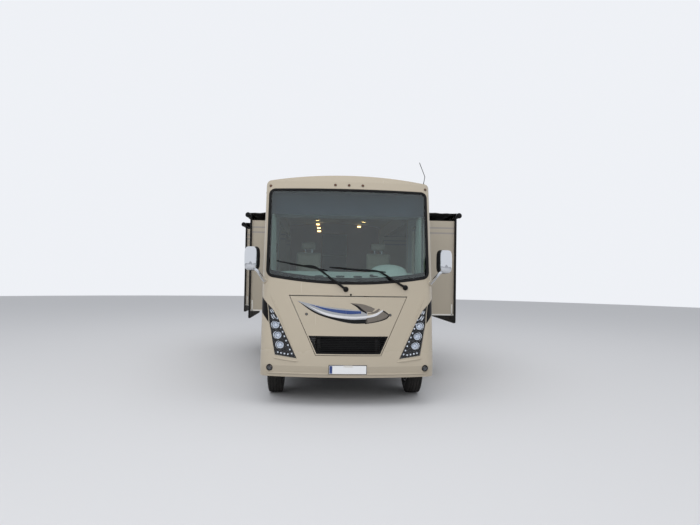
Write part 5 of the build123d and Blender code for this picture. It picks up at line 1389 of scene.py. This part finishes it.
def add_side_hardware():
    """Latches on the bay doors, a grab bar, gutters, arch trims, hatches, vents and marker lamps."""
    for body, side, start, end in BAYS:
        shapes, locks = [], []
        for share in (0.22, 0.78):
            y = station(start + (end - start) * share)
            plate, _ = rounded_outline((y - 0.055, 0.86), (y + 0.055, 0.925), 0.012)
            place = on_side(side)
            shapes.append(panel(plate, -0.0005, 0.004, place))
            shapes.append(slab(
                (side * (WALL + 0.003), y - 0.04, 0.872), (side * (WALL + 0.011), y + 0.018, 0.913), 0.004
            ))
            locks.append(lathe(
                [(0.0, 0.010), (0.004, 0.010), (0.006, 0.008), (0.0062, 0.002)],
                (side * (WALL + 0.003), y + 0.036, 0.8925), (side, 0, 0), 20
            ))
        piece(f"{body}_latches", [(shapes, "trim"), (locks, "chrome")], body=body)
    y = station(2.80)
    bar = smooth_path(
        [
            (-WALL, y, 1.12), (-WALL - 0.045, y, 1.15), (-WALL - 0.06, y, 1.25), (-WALL - 0.06, y, 1.95),
            (-WALL - 0.045, y, 2.05), (-WALL, y, 2.08)
        ],
        8
    )
    feet = [
        lathe([(-0.001, 0.030), (0.004, 0.030), (0.008, 0.022), (0.010, 0.018)], (-WALL, y, z), (-1, 0, 0), 28)
        for z in (1.12, 2.08)
    ]
    piece("grab_bar", [(tube(bar, 0.014, 14, up=AFT), "trim"), (feet, "trim")])

    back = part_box("left_wall")[1].y
    gutter = slab((WALL - 0.002, station(0.87), 3.128), (WALL + 0.016, back, 3.152), 0.004)
    insert = slab((WALL + 0.013, station(0.88), 3.135), (WALL + 0.0175, back - 0.01, 3.145), 0.0015)
    corner = slab((WALL - 0.004, back - 0.012, SKIRT + 0.01), (WALL + 0.006, back + 0.014, 3.10), 0.004)
    seam = slab((WALL - 0.003, station(0.842), 1.10), (WALL + 0.0035, station(0.858), 3.12), 0.0015)
    tail = slab((WALL - 0.002, station(7.48), SKIRT - 0.004), (WALL + 0.005, back, SKIRT + 0.018), 0.003)
    piece(
        "side_mouldings",
        [(both(merged(gutter, corner)), "wall_paint"), (both(merged(insert, seam)), "trim"), (both(tail), "trim")],
    )

    arcs, wells = [], []
    for y in (FRONT_AXLE, REAR_AXLE):
        turn = np.linspace(math.radians(-7), math.radians(187), 73)
        section = np.array([
            (-0.003, -0.03), (-0.004, 0.003), (0.010, 0.004), (0.026, 0.0032), (0.030, 0.0), (0.0005, -0.0005)
        ])
        radius = ARCH_RADIUS + section[None, :, 0]
        points = spread(
            WALL + section[:, 1], y + radius * np.cos(turn)[:, None], AXLE_HEIGHT + radius * np.sin(turn)[:, None]
        )
        arcs.append(both(capped(points)))
        turn = np.linspace(math.radians(2), math.radians(178), 49)
        section = np.array([
            (0.595, 1.219), (0.595, 0.625), (0.44, 0.622), (0.44, 0.618), (0.598, 0.618), (0.598, 1.219)
        ])
        points = spread(
            section[:, 1], y + section[None, :, 0] * np.cos(turn)[:, None],
            AXLE_HEIGHT + section[None, :, 0] * np.sin(turn)[:, None]
        )
        wells.append(both(capped(points)))
    piece("arch_trims", [(arcs, "rubber")])
    piece("wheel_wells", [(wells, "trim")])
    flaps = [both(slab((0.70, y - 0.004, 0.20), (1.205, y + 0.004, 1.05), 0.003)) for y in FLAPS]
    bars = [both(slab((0.68, y - 0.012, 1.035), (1.212, y + 0.012, 1.0765), 0.004)) for y in FLAPS]
    piece("mud_flaps", [(flaps, "rubber"), (bars, "chassis")])

    covers = [
        hatch(1, station(7.78), 0.86, 0.085, 0.085), hatch(1, station(9.35), 0.80, 0.13, 0.16),
        hatch(-1, station(7.80), 0.86, 0.12, 0.10), hatch(-1, station(9.40), 1.45, 0.07, 0.09),
        hatch(1, station(2.12), 0.86, 0.07, 0.08)
    ]
    vents = [
        louvres(-1, station(7.22), station(7.68), 1.25, 1.62, 9),
        louvres(1, station(7.62), station(7.98), 1.22, 1.50, 7)
    ]
    parts = [
        ([rim for rim, _, _ in covers], "trim"), ([face for _, face, _ in covers], "wall_paint"),
        ([lock for _, _, lock in covers], "chrome"), (vents, "white")
    ]
    piece("side_hatches", parts)

    dome = [(0.002, 0.030), (0.006, 0.030), (0.012, 0.024), (0.015, 0.012), (0.0155, 0.002)]
    base = [(-0.001, 0.036), (0.004, 0.036), (0.007, 0.031), (0.007, 0.028)]
    parts = []
    for at, z, finish in SIDE_MARKERS:
        parts.append((both(lathe(dome, (WALL, station(at), z), (1, 0, 0), 28)), finish))
        parts.append((both(lathe(base, (WALL, station(at), z), (1, 0, 0), 28)), "trim"))
    piece("side_markers", parts)


TAIL_LAMP_X = 1.12
TAIL_LAMPS = ((1.15, "red"), (1.29, "amber"), (1.43, "red"))
REAR_MARKERS = (-1.02, -0.2, 0.0, 0.2, 1.02)
LADDER_RAILS = (-0.95, -0.57)


def add_rear_details():
    """Bezels and fluted domes on the tail lamps, high marker lamps, a camera and the ladder's feet."""
    parts = []
    dome = [(0.0, 0.0545), (0.004, 0.0535), (0.009, 0.046), (0.012, 0.030), (0.013, 0.010), (0.0132, 0.002)]
    bezel = [(-0.0005, 0.064), (0.008, 0.064), (0.014, 0.060), (0.015, 0.0565), (0.008, 0.0555)]
    for z, finish in TAIL_LAMPS:
        parts.append((both(lathe(dome, (TAIL_LAMP_X, BACK + 0.0135, z), AFT, 44)), finish))
        parts.append((both(ring(bezel, (TAIL_LAMP_X, BACK, z), AFT, 44)), "chrome"))
    small = [(0.0, 0.018), (0.006, 0.018), (0.012, 0.013), (0.014, 0.004)]
    foot = [(-0.0005, 0.024), (0.004, 0.024), (0.007, 0.019)]
    for x in REAR_MARKERS:
        parts.append((lathe(small, (x, BACK + 0.002, 3.10), AFT, 24), "red"))
        parts.append((lathe(foot, (x, BACK, 3.10), AFT, 24), "trim"))
    parts.append((slab((-0.045, BACK - 0.001, 2.94), (0.045, BACK + 0.045, 3.00), 0.01), "trim"))
    parts.append((
        lathe([(0.0, 0.018), (0.006, 0.017), (0.007, 0.012), (0.003, 0.010)], (0, BACK + 0.044, 2.965), AFT, 24),
        "gloss_black"
    ))
    for x in LADDER_RAILS:
        for z in (1.07, 2.255, 3.12):
            parts.append((
                lathe([(-0.0005, 0.026), (0.005, 0.026), (0.008, 0.018), (0.012, 0.013)], (x, BACK, z), AFT, 24),
                "aluminium"
            ))
    piece("rear_fittings", parts)


# Roof.

# Roof units: X, distance from the nose, half length, top, and whether it is a cooling unit.
ROOF_UNITS = [
    (0.0, 3.3, 0.48, 3.69, True), (0.0, 7.9, 0.48, 3.69, True), (0.45, 5.6, 0.21, 3.51, False),
    (-0.45, 6.9, 0.21, 3.51, False), (-0.5, 9.0, 0.21, 3.51, False)
]


def add_roof_details():
    """Slats on the ends of the cooling units and ribs on the vents' lids."""
    slats, ribs = [], []
    for x, at, half_length, top, cooling in ROOF_UNITS:
        y = station(at)
        if cooling:
            for index in range(9):
                z = 3.47 + 0.021 * index
                inset = 0.02 * (z - 3.31) / 0.38
                for way in (-1, 1):
                    face = y + way * (half_length - inset)
                    slats.append(slab(
                        (x - 0.27, face - way * 0.004, z), (x + 0.27, face + way * 0.006, z + 0.010), 0.003, 2
                    ))
            for share in (-0.5, 0.0, 0.5):
                ribs.append(slab(
                    (x - 0.24, y + share * half_length - 0.02, top - 0.002),
                    (x + 0.24, y + share * half_length + 0.02, top + 0.006), 0.003, 2
                ))
        else:
            for share in (-0.5, 0.0, 0.5):
                ribs.append(slab(
                    (x - 0.15, y + share * 0.2 - 0.008, top - 0.002),
                    (x + 0.15, y + share * 0.2 + 0.008, top + 0.005), 0.002, 2
                ))
    piece("roof_fittings", [(slats, "grey"), (ribs, "white")])


# Inside.

CEILING_LAMPS = [(-0.48, 1.35), (0.72, 1.33), (-0.46, -1.2), (0.65, -1.2), (-0.46, 0.1), (0.65, 0.1)]
BULKHEAD_LAMPS = [(-0.465, 3.262), (-0.44, 3.165), (-0.43, 3.078), (0.66, 3.225)]
BULKHEAD_FACE = 2.13
SEATS = (-0.62, 0.62)
SEAT_FRONT, SEAT_REAR = 1.33, 1.85
SEAT_BACK_LEAN = 0.11
CLOTH_PRESSURE = 4.0
CLOTH_FRAMES = 20


def simulated(made, voxel, cap):
    """A padded form: remeshed evenly, blown up as cloth, each point's move capped."""
    even = made.modifiers.new("even", "REMESH")
    even.mode = "VOXEL"
    even.voxel_size = voxel
    even.use_smooth_shade = True
    settled(made)
    count = len(made.data.vertices)
    before = np.empty(count * 3)
    made.data.vertices.foreach_get("co", before)
    soft = made.modifiers.new("soft", "CLOTH")
    soft.settings.use_pressure = True
    soft.settings.uniform_pressure_force = CLOTH_PRESSURE
    soft.settings.quality = 4
    soft.settings.effector_weights.gravity = 0.0
    soft.point_cache.frame_end = CLOTH_FRAMES
    scene = bpy.context.scene
    for frame_number in range(1, CLOTH_FRAMES + 1):
        scene.frame_set(frame_number)
    blown = made.evaluated_get(bpy.context.evaluated_depsgraph_get()).data
    after = np.empty(count * 3)
    blown.vertices.foreach_get("co", after)
    made.modifiers.clear()
    scene.frame_set(1)
    move = (after - before).reshape(-1, 3)
    length = np.linalg.norm(move, axis=1, keepdims=True)
    move *= np.minimum(1, cap / np.maximum(length, 1e-9))
    made.data.vertices.foreach_set("co", (before.reshape(-1, 3) + move).ravel())
    return made


def finished_pad(made):
    """One level of subdivision on a padded form, shaded smooth."""
    fine = made.modifiers.new("fine", "SUBSURF")
    fine.levels = fine.render_levels = 1
    settled(made)
    made.data.polygons.foreach_set("use_smooth", [True] * len(made.data.polygons))
    return made


def grooved(made, lines, depth, width):
    """Sewn channels: each point sinks inwards by depth x exp(-(d / width)^2) of its nearest line."""
    count = len(made.data.vertices)
    points = np.empty(count * 3)
    made.data.vertices.foreach_get("co", points)
    points = points.reshape(-1, 3)
    middle = points.mean(0)
    for axis, at, sink_axis in lines:
        distance = points[:, axis] - at
        outer = np.sign(points[:, sink_axis] - middle[sink_axis])
        points[:, sink_axis] -= outer * depth * np.exp(-(distance / width) ** 2)
    made.data.vertices.foreach_set("co", points.ravel())
    made.data.update()


def add_seats():
    """Two cab seats: padded, channelled cushions, backs and headrests, rounded arms, plinths with rails."""
    front, rear = station(SEAT_FRONT), station(SEAT_REAR)
    for x, word in zip(SEATS, ("right", "left")):
        cushion = piece(
            f"{word}_seat_cushion",
            [(slab((x - 0.238, front + 0.012, 1.445), (x + 0.238, rear - 0.05, 1.548), 0.045, 4), "seat")],
        )
        simulated(cushion, 0.012, 0.014)
        grooved(cushion, [(0, x - 0.155, 2), (0, x + 0.155, 2), (1, front + 0.10, 2)], 0.010, 0.006)
        finished_pad(cushion)
        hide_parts("cab_seats")
        shape = slab((x - 0.225, rear - 0.042, 1.53), (x + 0.225, rear + 0.042, 2.27), 0.04, 4)
        shape[0][:, 1] += SEAT_BACK_LEAN * (shape[0][:, 2] - 1.495) / 0.795
        back = piece(f"{word}_seat_back", [(shape, "seat")])
        simulated(back, 0.013, 0.014)
        grooved(back, [(0, x - 0.14, 1), (0, x + 0.14, 1), (2, 1.80, 1), (2, 2.05, 1)], 0.009, 0.006)
        finished_pad(back)
        head = piece(
            f"{word}_headrest",
            [(slab((x - 0.125, rear + 0.078, 2.312), (x + 0.125, rear + 0.142, 2.440), 0.03, 4), "seat")],
        )
        simulated(head, 0.009, 0.008)
        finished_pad(head)
        for way, hand in ((-1, "outer"), (1, "inner")):
            low_x, high_x = sorted((x + way * 0.262, x + way * 0.318))
            arm = piece(
                f"{word}_seat_{hand}_arm",
                [(slab((low_x, station(1.46), 1.672), (high_x, station(1.84), 1.718), 0.018, 4), "seat")],
            )
    parts = []
    for x in SEATS:
        parts.append((slab((x - 0.15, station(1.43), 1.1372), (x + 0.15, station(1.73), 1.40), 0.012), "trim"))
        parts.append((slab((x - 0.20, station(1.37), 1.40), (x + 0.20, station(1.80), 1.432), 0.008), "trim"))
        for way in (-1, 1):
            parts.append((
                slab((x + way * 0.222, station(1.79), 1.50), (x + way * 0.262, station(1.85), 1.674), 0.008), "trim"
            ))
            post = [(x + way * 0.06, rear + 0.104, 2.24), (x + way * 0.06, rear + 0.110, 2.33)]
            parts.append((tube(post, 0.006, 10, up=AFT), "chrome"))
    piece("seat_plinths", parts)


def add_curtains():
    """A curtain at each side of the cab, its pleats a sine along the wall, and a folded rear blind."""
    low, high = 1.76, 2.792
    run = np.linspace(0, 1, 161)
    rise = np.linspace(0, 1, 21)[:, None]
    depth = 0.020 + 0.010 * (1 - rise)
    phase = run * FULL_TURN * 9
    sway = 0.006 * np.sin(run * 17 + 2.0 * rise)
    for side, word in ((1, "left"), (-1, "right")):
        x = 1.160 + depth * np.sin(phase) + sway
        y = station(0.85) + 0.24 * run + 0.35 * depth * np.sin(2 * phase)
        z = low + (high - low) * rise
        points = spread(side * x, y, z)
        made = piece(f"{word}_curtain", [(grid(points), "curtain")], closed=False)
        thickened(made, 0.001)
    rails = both(slab((1.145, station(0.84), 2.788), (1.175, station(1.12), 2.7995), 0.003))
    piece("curtain_rails", [(rails, "white")])
    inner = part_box("rear_wall")[0].y
    x, z = np.meshgrid(np.linspace(-0.61, 0.61, 41), np.linspace(1.80, 2.52, 41), indexing="ij")
    fold = 0.006 * np.abs(np.sin(z * math.pi / 0.03))
    points = spread(x, inner - 0.012 - fold, z)
    blind = piece("rear_blind", [(grid(points), "curtain")], closed=False)
    thickened(blind, 0.0008)
    box = slab((-0.63, inner - 0.035, 2.515), (0.63, inner + 0.002, 2.56), 0.006)
    piece("blind_box", [(box, "white")])


COWL_FRONT, COWL_BACK = 0.36, 0.83
COWL_SLOPE = 0.36
COWL_VENTS = (-0.434, -0.115, 0.152, 0.40)
VENT_PLACE = 0.36
BINNACLE = (0.65, 0.29, 0.125)


def cowl(x, share):
    """The dash's top: a slope up from the screen's foot, a roll over, and an ellipse's swell over the gauges."""
    y = station(COWL_FRONT + (COWL_BACK - COWL_FRONT) * share)
    flat = 1.775 + COWL_SLOPE * (
        COWL_BACK - COWL_FRONT
    ) * np.minimum(share, 0.82) - 0.9 * np.clip(share - 0.82, 0, 1) ** 2
    centre, half, rise = BINNACLE
    swell = np.sqrt(np.clip(1 - ((x - centre) / half) ** 2, 0, 1))
    z = flat + rise * swell * np.sin(
        np.pi / 2 * np.clip((share - 0.25) / 0.5, 0, 1)
    ) - 0.02 * np.clip(np.abs(x) - 0.9, 0, 1) / 0.2
    return spread(x, y, z)


def add_interior():
    """Warm lamps in the ceiling and on the bulkhead, the dash's top with its fittings, and the radiator."""
    parts = []
    rim = [(0.0, 0.062), (-0.006, 0.062), (-0.010, 0.056), (-0.010, 0.050), (-0.004, 0.048)]
    face = [(-0.003, 0.049), (-0.006, 0.047), (-0.008, 0.030), (-0.0085, 0.004)]
    for x, y in CEILING_LAMPS:
        z = 3.31 - 0.10 * (x / 1.22) ** 2 - 0.001
        parts.append((ring(rim, (x, y, z), (0, 0, 1), 28), "white"))
        parts.append((lathe(face, (x, y, z), (0, 0, 1), 28), "ceiling_glow"))
    for x, z in BULKHEAD_LAMPS:
        parts.append((
            slab((x - 0.045, BULKHEAD_FACE - 0.015, z - 0.016), (x + 0.045, BULKHEAD_FACE, z + 0.016), 0.006),
            "ceiling_glow"
        ))
    piece("ceiling_lamps", parts)

    across, along = np.meshgrid(np.linspace(-1.12, 1.12, 113), np.linspace(0, 1, 41))
    parts = [(grid(cowl(across, along)), "dash")]
    for x in COWL_VENTS:
        y, z = cowl(np.array([x]), np.array([VENT_PLACE]))[0, 1:]
        outline, normals = rounded_outline((x - 0.062, y - 0.03), (x + 0.062, y + 0.03), 0.028)
        level = lambda u, v, w, z=z, y=y: spread(u, v, z + w + COWL_SLOPE * (v - y))
        rim = [(0.006, -0.001), (0.005, 0.005), (-0.002, 0.006), (-0.006, 0.001)]
        parts.append((sweep(outline, normals, rim, level), "trim"))
        parts.append((panel(outline, -0.001, 0.0015, level), "trim"))
        slats = [
            panel(
                rounded_outline((x + shift - 0.002, y - 0.024), (x + shift + 0.002, y + 0.024), 0.001, 2)[0], 0.001,
                0.005, level
            )
            for shift in np.linspace(-0.045, 0.045, 7)
        ]
        parts.append((slats, "grey"))
    pod_back = station(0.85)
    cluster, normals = rounded_outline((0.63 - 0.19, 1.72), (0.63 + 0.19, 1.90), 0.05)
    behind = lambda u, v, w: spread(u, pod_back + w, v)
    parts.append((panel(cluster, -0.001, 0.004, behind), "gloss_black"))
    for x in (0.53, 0.63, 0.73):
        parts.append((
            lathe([(0.003, 0.040), (0.007, 0.040), (0.008, 0.037), (0.0055, 0.036)], (x, pod_back, 1.81), AFT, 36),
            "chrome"
        ))
    piece("dash_fittings", parts, closed=False)

    core = slab((-0.40, station(0.235), 0.745), (0.40, station(0.285), 0.965), 0.006)
    tanks = [slab((-0.40, station(0.225), z), (0.40, station(0.295), z + 0.03), 0.008) for z in (0.72, 0.96)]
    brackets = both(slab((0.40, station(0.24), 0.74), (0.452, station(0.335), 0.935), 0.004))
    piece("radiator", [(core, "radiator"), (tanks, "trim"), (brackets, "chassis")])


# Stage.


def stage_material(name, colour):
    """A plain matt surface with the faintest drift in tone."""
    made, tree = principled(name, Roughness=0.9)
    shade = blended(tree, times(tree, noise(tree, 0.4), 0.04), rgb(colour), (0.6, 0.6, 0.6, 1))
    link(tree, Base_Color=shade)
    return made


CAMERA_PLACE = (-0.472, -12.718, 1.814)
CAMERA_YAW = math.radians(3.47)
CAMERA_PITCH = math.radians(1.66)
CAMERA_ROLL = math.radians(0.94)
CAMERA_LENS = 28.11


def add_camera():
    """The camera, turned by yaw about Z, pitch about its right axis and roll about its own line of sight."""
    forward = Vector((
        math.sin(CAMERA_YAW) * math.cos(CAMERA_PITCH), math.cos(CAMERA_YAW) * math.cos(CAMERA_PITCH),
        math.sin(CAMERA_PITCH)
    ))
    level = forward.cross(Vector((0, 0, 1))).normalized()
    upright = level.cross(forward)
    right = level * math.cos(CAMERA_ROLL) + upright * math.sin(CAMERA_ROLL)
    up = upright * math.cos(CAMERA_ROLL) - level * math.sin(CAMERA_ROLL)
    data = bpy.data.cameras.new("photo_camera")
    data.lens = CAMERA_LENS
    data.sensor_width = 36.0
    data.clip_end = 300.0
    camera = bpy.data.objects.new("photo_camera", data)
    turn = Matrix((right, up, -forward)).transposed().to_4x4()
    camera.matrix_world = Matrix.Translation(CAMERA_PLACE) @ turn
    bpy.context.scene.collection.objects.link(camera)
    bpy.context.scene.camera = camera


def add_lamp(name, place, size, power, target=(0, 0, 1.6)):
    """A large soft lamp aimed at a point."""
    data = bpy.data.lights.new(name, "AREA")
    data.shape = "RECTANGLE"
    data.size, data.size_y = size
    data.energy = power
    made = bpy.data.objects.new(name, data)
    made.location = place
    made.rotation_euler = (Vector(target) - Vector(place)).to_track_quat("-Z", "Y").to_euler()
    made.visible_glossy = False
    made.visible_transmission = False
    bpy.context.scene.collection.objects.link(made)


def add_world(colours):
    """An overcast sky for light, and a plain pale ground for the camera, gloss and what shows through glass."""
    world = bpy.data.worlds.new("Overcast")
    bpy.context.scene.world = world
    world.use_nodes = True
    tree = world.node_tree
    tree.nodes.clear()
    height = put(tree, "SeparateXYZ", {0: put(tree, "TexCoord").outputs["Generated"]}).outputs["Z"]
    up = number(tree, "MULTIPLY_ADD", height, 0.5, 0.5, clamp=True)
    light = put(
        tree, "Background",
        {"Color": blended(tree, up, (0.42, 0.42, 0.42, 1), (1.0, 1.03, 1.08, 1)), "Strength": 0.75}
    )
    seen = put(tree, "Background", {"Color": rgb(colours.backdrop), "Strength": 1.0})
    path = put(tree, "LightPath").outputs
    rays = number(
        tree, "MAXIMUM", path["Is Camera Ray"],
        number(tree, "MAXIMUM", path["Is Glossy Ray"], path["Is Transmission Ray"])
    )
    mix = put(tree, "MixShader", {0: rays, 1: light.outputs[0], 2: seen.outputs[0]})
    out = put(tree, "OutputWorld")
    tree.links.new(mix.outputs[0], out.inputs["Surface"])


def add_stage(colours):
    """Floor, sky, lamps and camera."""
    scene = bpy.context.scene
    scene.view_settings.view_transform = "Standard"
    radius = np.array([0.0, 4.0, 12.0, 40.0])
    turn = angles(64)
    points = spread(radius[:, None] * np.cos(turn), radius[:, None] * np.sin(turn), 0.0)
    flat, quads, _ = grid(points, wrap_columns=True)
    mesh = bpy.data.meshes.new("stage_floor")
    mesh.from_pydata(flat.tolist(), [], quads.tolist())
    mesh.materials.append(stage_material("Stage floor", colours.floor))
    floor = bpy.data.objects.new("stage_floor", mesh)
    scene.collection.objects.link(floor)
    add_world(colours)
    add_lamp("sky_lamp", (0, -3, 14), (14, 18), 900, (0, 0, 1))
    add_lamp("front_lamp", (-3, -17, 8), (12, 8), 700, (0, -4, 1.5))
    add_camera()


# Properties, operators and panel.


def colour_property(name, description, default):
    """A colour that a user may change."""
    return bpy.props.FloatVectorProperty(
        name=name, description=description, subtype="COLOR", default=default, min=0, max=1
    )


def length_property(name, description, default):
    """A length that a user may change."""
    return bpy.props.FloatProperty(name=name, description=description, unit="LENGTH", default=default)


class CoachColours(bpy.types.PropertyGroup):
    paint: colour_property("Paint", "Colour of the front cap and hood", (0.428, 0.372, 0.286))
    wall: colour_property("Walls", "Colour of the walls, doors and slide rooms", (0.425, 0.375, 0.296))
    stripe: colour_property("Stripes", "Colour of the two thin bands along the walls", (0.30, 0.28, 0.26))
    blue: colour_property("Blue film", "Blue of the hood's bands", (0.006, 0.036, 0.17))
    curtain: colour_property("Curtains", "Colour of the cab curtains", (0.50, 0.52, 0.47))
    seat: colour_property("Seats", "Colour of the cab seats", (0.30, 0.25, 0.19))
    ceiling_light: colour_property("Ceiling lamps", "Colour of the warm ceiling lamps", (1.0, 0.62, 0.22))
    floor: colour_property("Stage floor", "Colour of the floor under the coach", (0.60, 0.60, 0.61))
    backdrop: colour_property("Backdrop", "Colour behind the coach", (0.86, 0.88, 0.92))


class CoachSizes(bpy.types.PropertyGroup):
    border_side: length_property("Border at the sides", "Width of the screen's black border at its sides", 0.048)
    border_top: length_property("Border at the top", "Width of the screen's black border at its top", 0.026)
    border_bottom: length_property("Border at the sill", "Height of the screen's black border at its sill", 0.085)
    tread_depth: length_property("Tread depth", "Depth of the tyres' grooves", 0.011)
    sipes: bpy.props.IntProperty(name="Sipes", description="Slanting cuts round each tyre's tread", default=54)


def colours_and_sizes():
    """The two property groups of the scene."""
    return bpy.context.scene.coach_colours, bpy.context.scene.coach_sizes


class COACH_OT_stage(bpy.types.Operator):
    """Adds the floor, the sky, the lamps and the camera"""

    bl_idname = "coach.stage"
    bl_label = "Stage"

    def execute(self, context):
        add_stage(colours_and_sizes()[0])
        return {"FINISHED"}


class COACH_OT_finishes(bpy.types.Operator):
    """Builds the finishes and gives them to the frame's nodes"""

    bl_idname = "coach.finishes"
    bl_label = "Finishes"

    def execute(self, context):
        make_effects()
        FINISHES.update(make_finishes(colours_and_sizes()[0]))
        dress_frame()
        return {"FINISHED"}


class COACH_OT_screen(bpy.types.Operator):
    """Adds the windscreen's border and seal"""

    bl_idname = "coach.screen"
    bl_label = "Windscreen"

    def execute(self, context):
        add_screen(colours_and_sizes()[1])
        return {"FINISHED"}


class COACH_OT_hood(bpy.types.Operator):
    """Adds the hood's bands and latches, the washer nozzle, the ridges of the mask and the wipers' covers"""

    bl_idname = "coach.hood"
    bl_label = "Hood, mask and wipers"

    def execute(self, context):
        add_hood_details()
        add_mask_mouldings()
        add_wiper_details()
        return {"FINISHED"}


class COACH_OT_lamps(bpy.types.Operator):
    """Adds the headlamps' optics and the rings of the small lamps"""

    bl_idname = "coach.lamps"
    bl_label = "Front lamps"

    def execute(self, context):
        add_headlamp_details()
        add_mask_lamps()
        return {"FINISHED"}


class COACH_OT_plates(bpy.types.Operator):
    """Adds the bare number plates"""

    bl_idname = "coach.plates"
    bl_label = "Plates"

    def execute(self, context):
        add_plates()
        return {"FINISHED"}


class COACH_OT_mirrors(bpy.types.Operator):
    """Adds the mirrors' shells, glasses and arms"""

    bl_idname = "coach.mirrors"
    bl_label = "Mirrors"

    def execute(self, context):
        add_mirrors()
        return {"FINISHED"}


class COACH_OT_wheels(bpy.types.Operator):
    """Adds the tyres' treads, wheel nuts, caps and valves"""

    bl_idname = "coach.wheels"
    bl_label = "Wheels"

    def execute(self, context):
        add_wheels(colours_and_sizes()[1])
        return {"FINISHED"}


class COACH_OT_toppers(bpy.types.Operator):
    """Adds the slide toppers' cloths, rails and roller ends"""

    bl_idname = "coach.toppers"
    bl_label = "Toppers"

    def execute(self, context):
        add_toppers()
        return {"FINISHED"}


class COACH_OT_windows(bpy.types.Operator):
    """Adds the window frames, the seals and the entry door's handle"""

    bl_idname = "coach.windows"
    bl_label = "Windows"

    def execute(self, context):
        add_windows()
        return {"FINISHED"}


class COACH_OT_side_hardware(bpy.types.Operator):
    """Adds latches, mouldings, arch trims, hatches and markers on the sides"""

    bl_idname = "coach.side_hardware"
    bl_label = "Side hardware"

    def execute(self, context):
        add_side_hardware()
        return {"FINISHED"}


class COACH_OT_rear_details(bpy.types.Operator):
    """Adds the tail lamps' bezels, the fittings of the rear and the roof units' slats and ribs"""

    bl_idname = "coach.rear_details"
    bl_label = "Rear and roof"

    def execute(self, context):
        add_rear_details()
        add_roof_details()
        return {"FINISHED"}


class COACH_OT_seats(bpy.types.Operator):
    """Adds the padded cab seats and the curtains"""

    bl_idname = "coach.seats"
    bl_label = "Seats and curtains"

    def execute(self, context):
        add_seats()
        add_curtains()
        return {"FINISHED"}


class COACH_OT_interior(bpy.types.Operator):
    """Adds the lamps inside, the dash fittings and the radiator"""

    bl_idname = "coach.interior"
    bl_label = "Interior"

    def execute(self, context):
        add_interior()
        return {"FINISHED"}


OPERATORS = (
    COACH_OT_stage, COACH_OT_finishes, COACH_OT_screen, COACH_OT_hood, COACH_OT_lamps, COACH_OT_plates,
    COACH_OT_mirrors, COACH_OT_wheels, COACH_OT_toppers, COACH_OT_windows, COACH_OT_side_hardware,
    COACH_OT_rear_details, COACH_OT_seats, COACH_OT_interior
)


class COACH_PT_panel(bpy.types.Panel):
    """Lists the coach's colours, sizes and pieces"""

    bl_label = "Coach"
    bl_idname = "COACH_PT_panel"
    bl_space_type = "VIEW_3D"
    bl_region_type = "UI"
    bl_category = "Coach"

    def draw(self, context):
        for group in colours_and_sizes():
            for key in group.__annotations__:
                self.layout.prop(group, key)
        for operator in OPERATORS:
            self.layout.operator(operator.bl_idname)


CLASSES = (CoachColours, CoachSizes, *OPERATORS, COACH_PT_panel)


def register():
    for kind in CLASSES:
        bpy.utils.register_class(kind)
    bpy.types.Scene.coach_colours = bpy.props.PointerProperty(type=CoachColours)
    bpy.types.Scene.coach_sizes = bpy.props.PointerProperty(type=CoachSizes)


def unregister():
    del bpy.types.Scene.coach_sizes
    del bpy.types.Scene.coach_colours
    for kind in reversed(CLASSES):
        bpy.utils.unregister_class(kind)


def main():
    """Registers the add-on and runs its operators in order."""
    register()
    for operator in OPERATORS:
        group, name = operator.bl_idname.split(".")
        getattr(getattr(bpy.ops, group), name)()


if __name__ == "__main__":
    main()
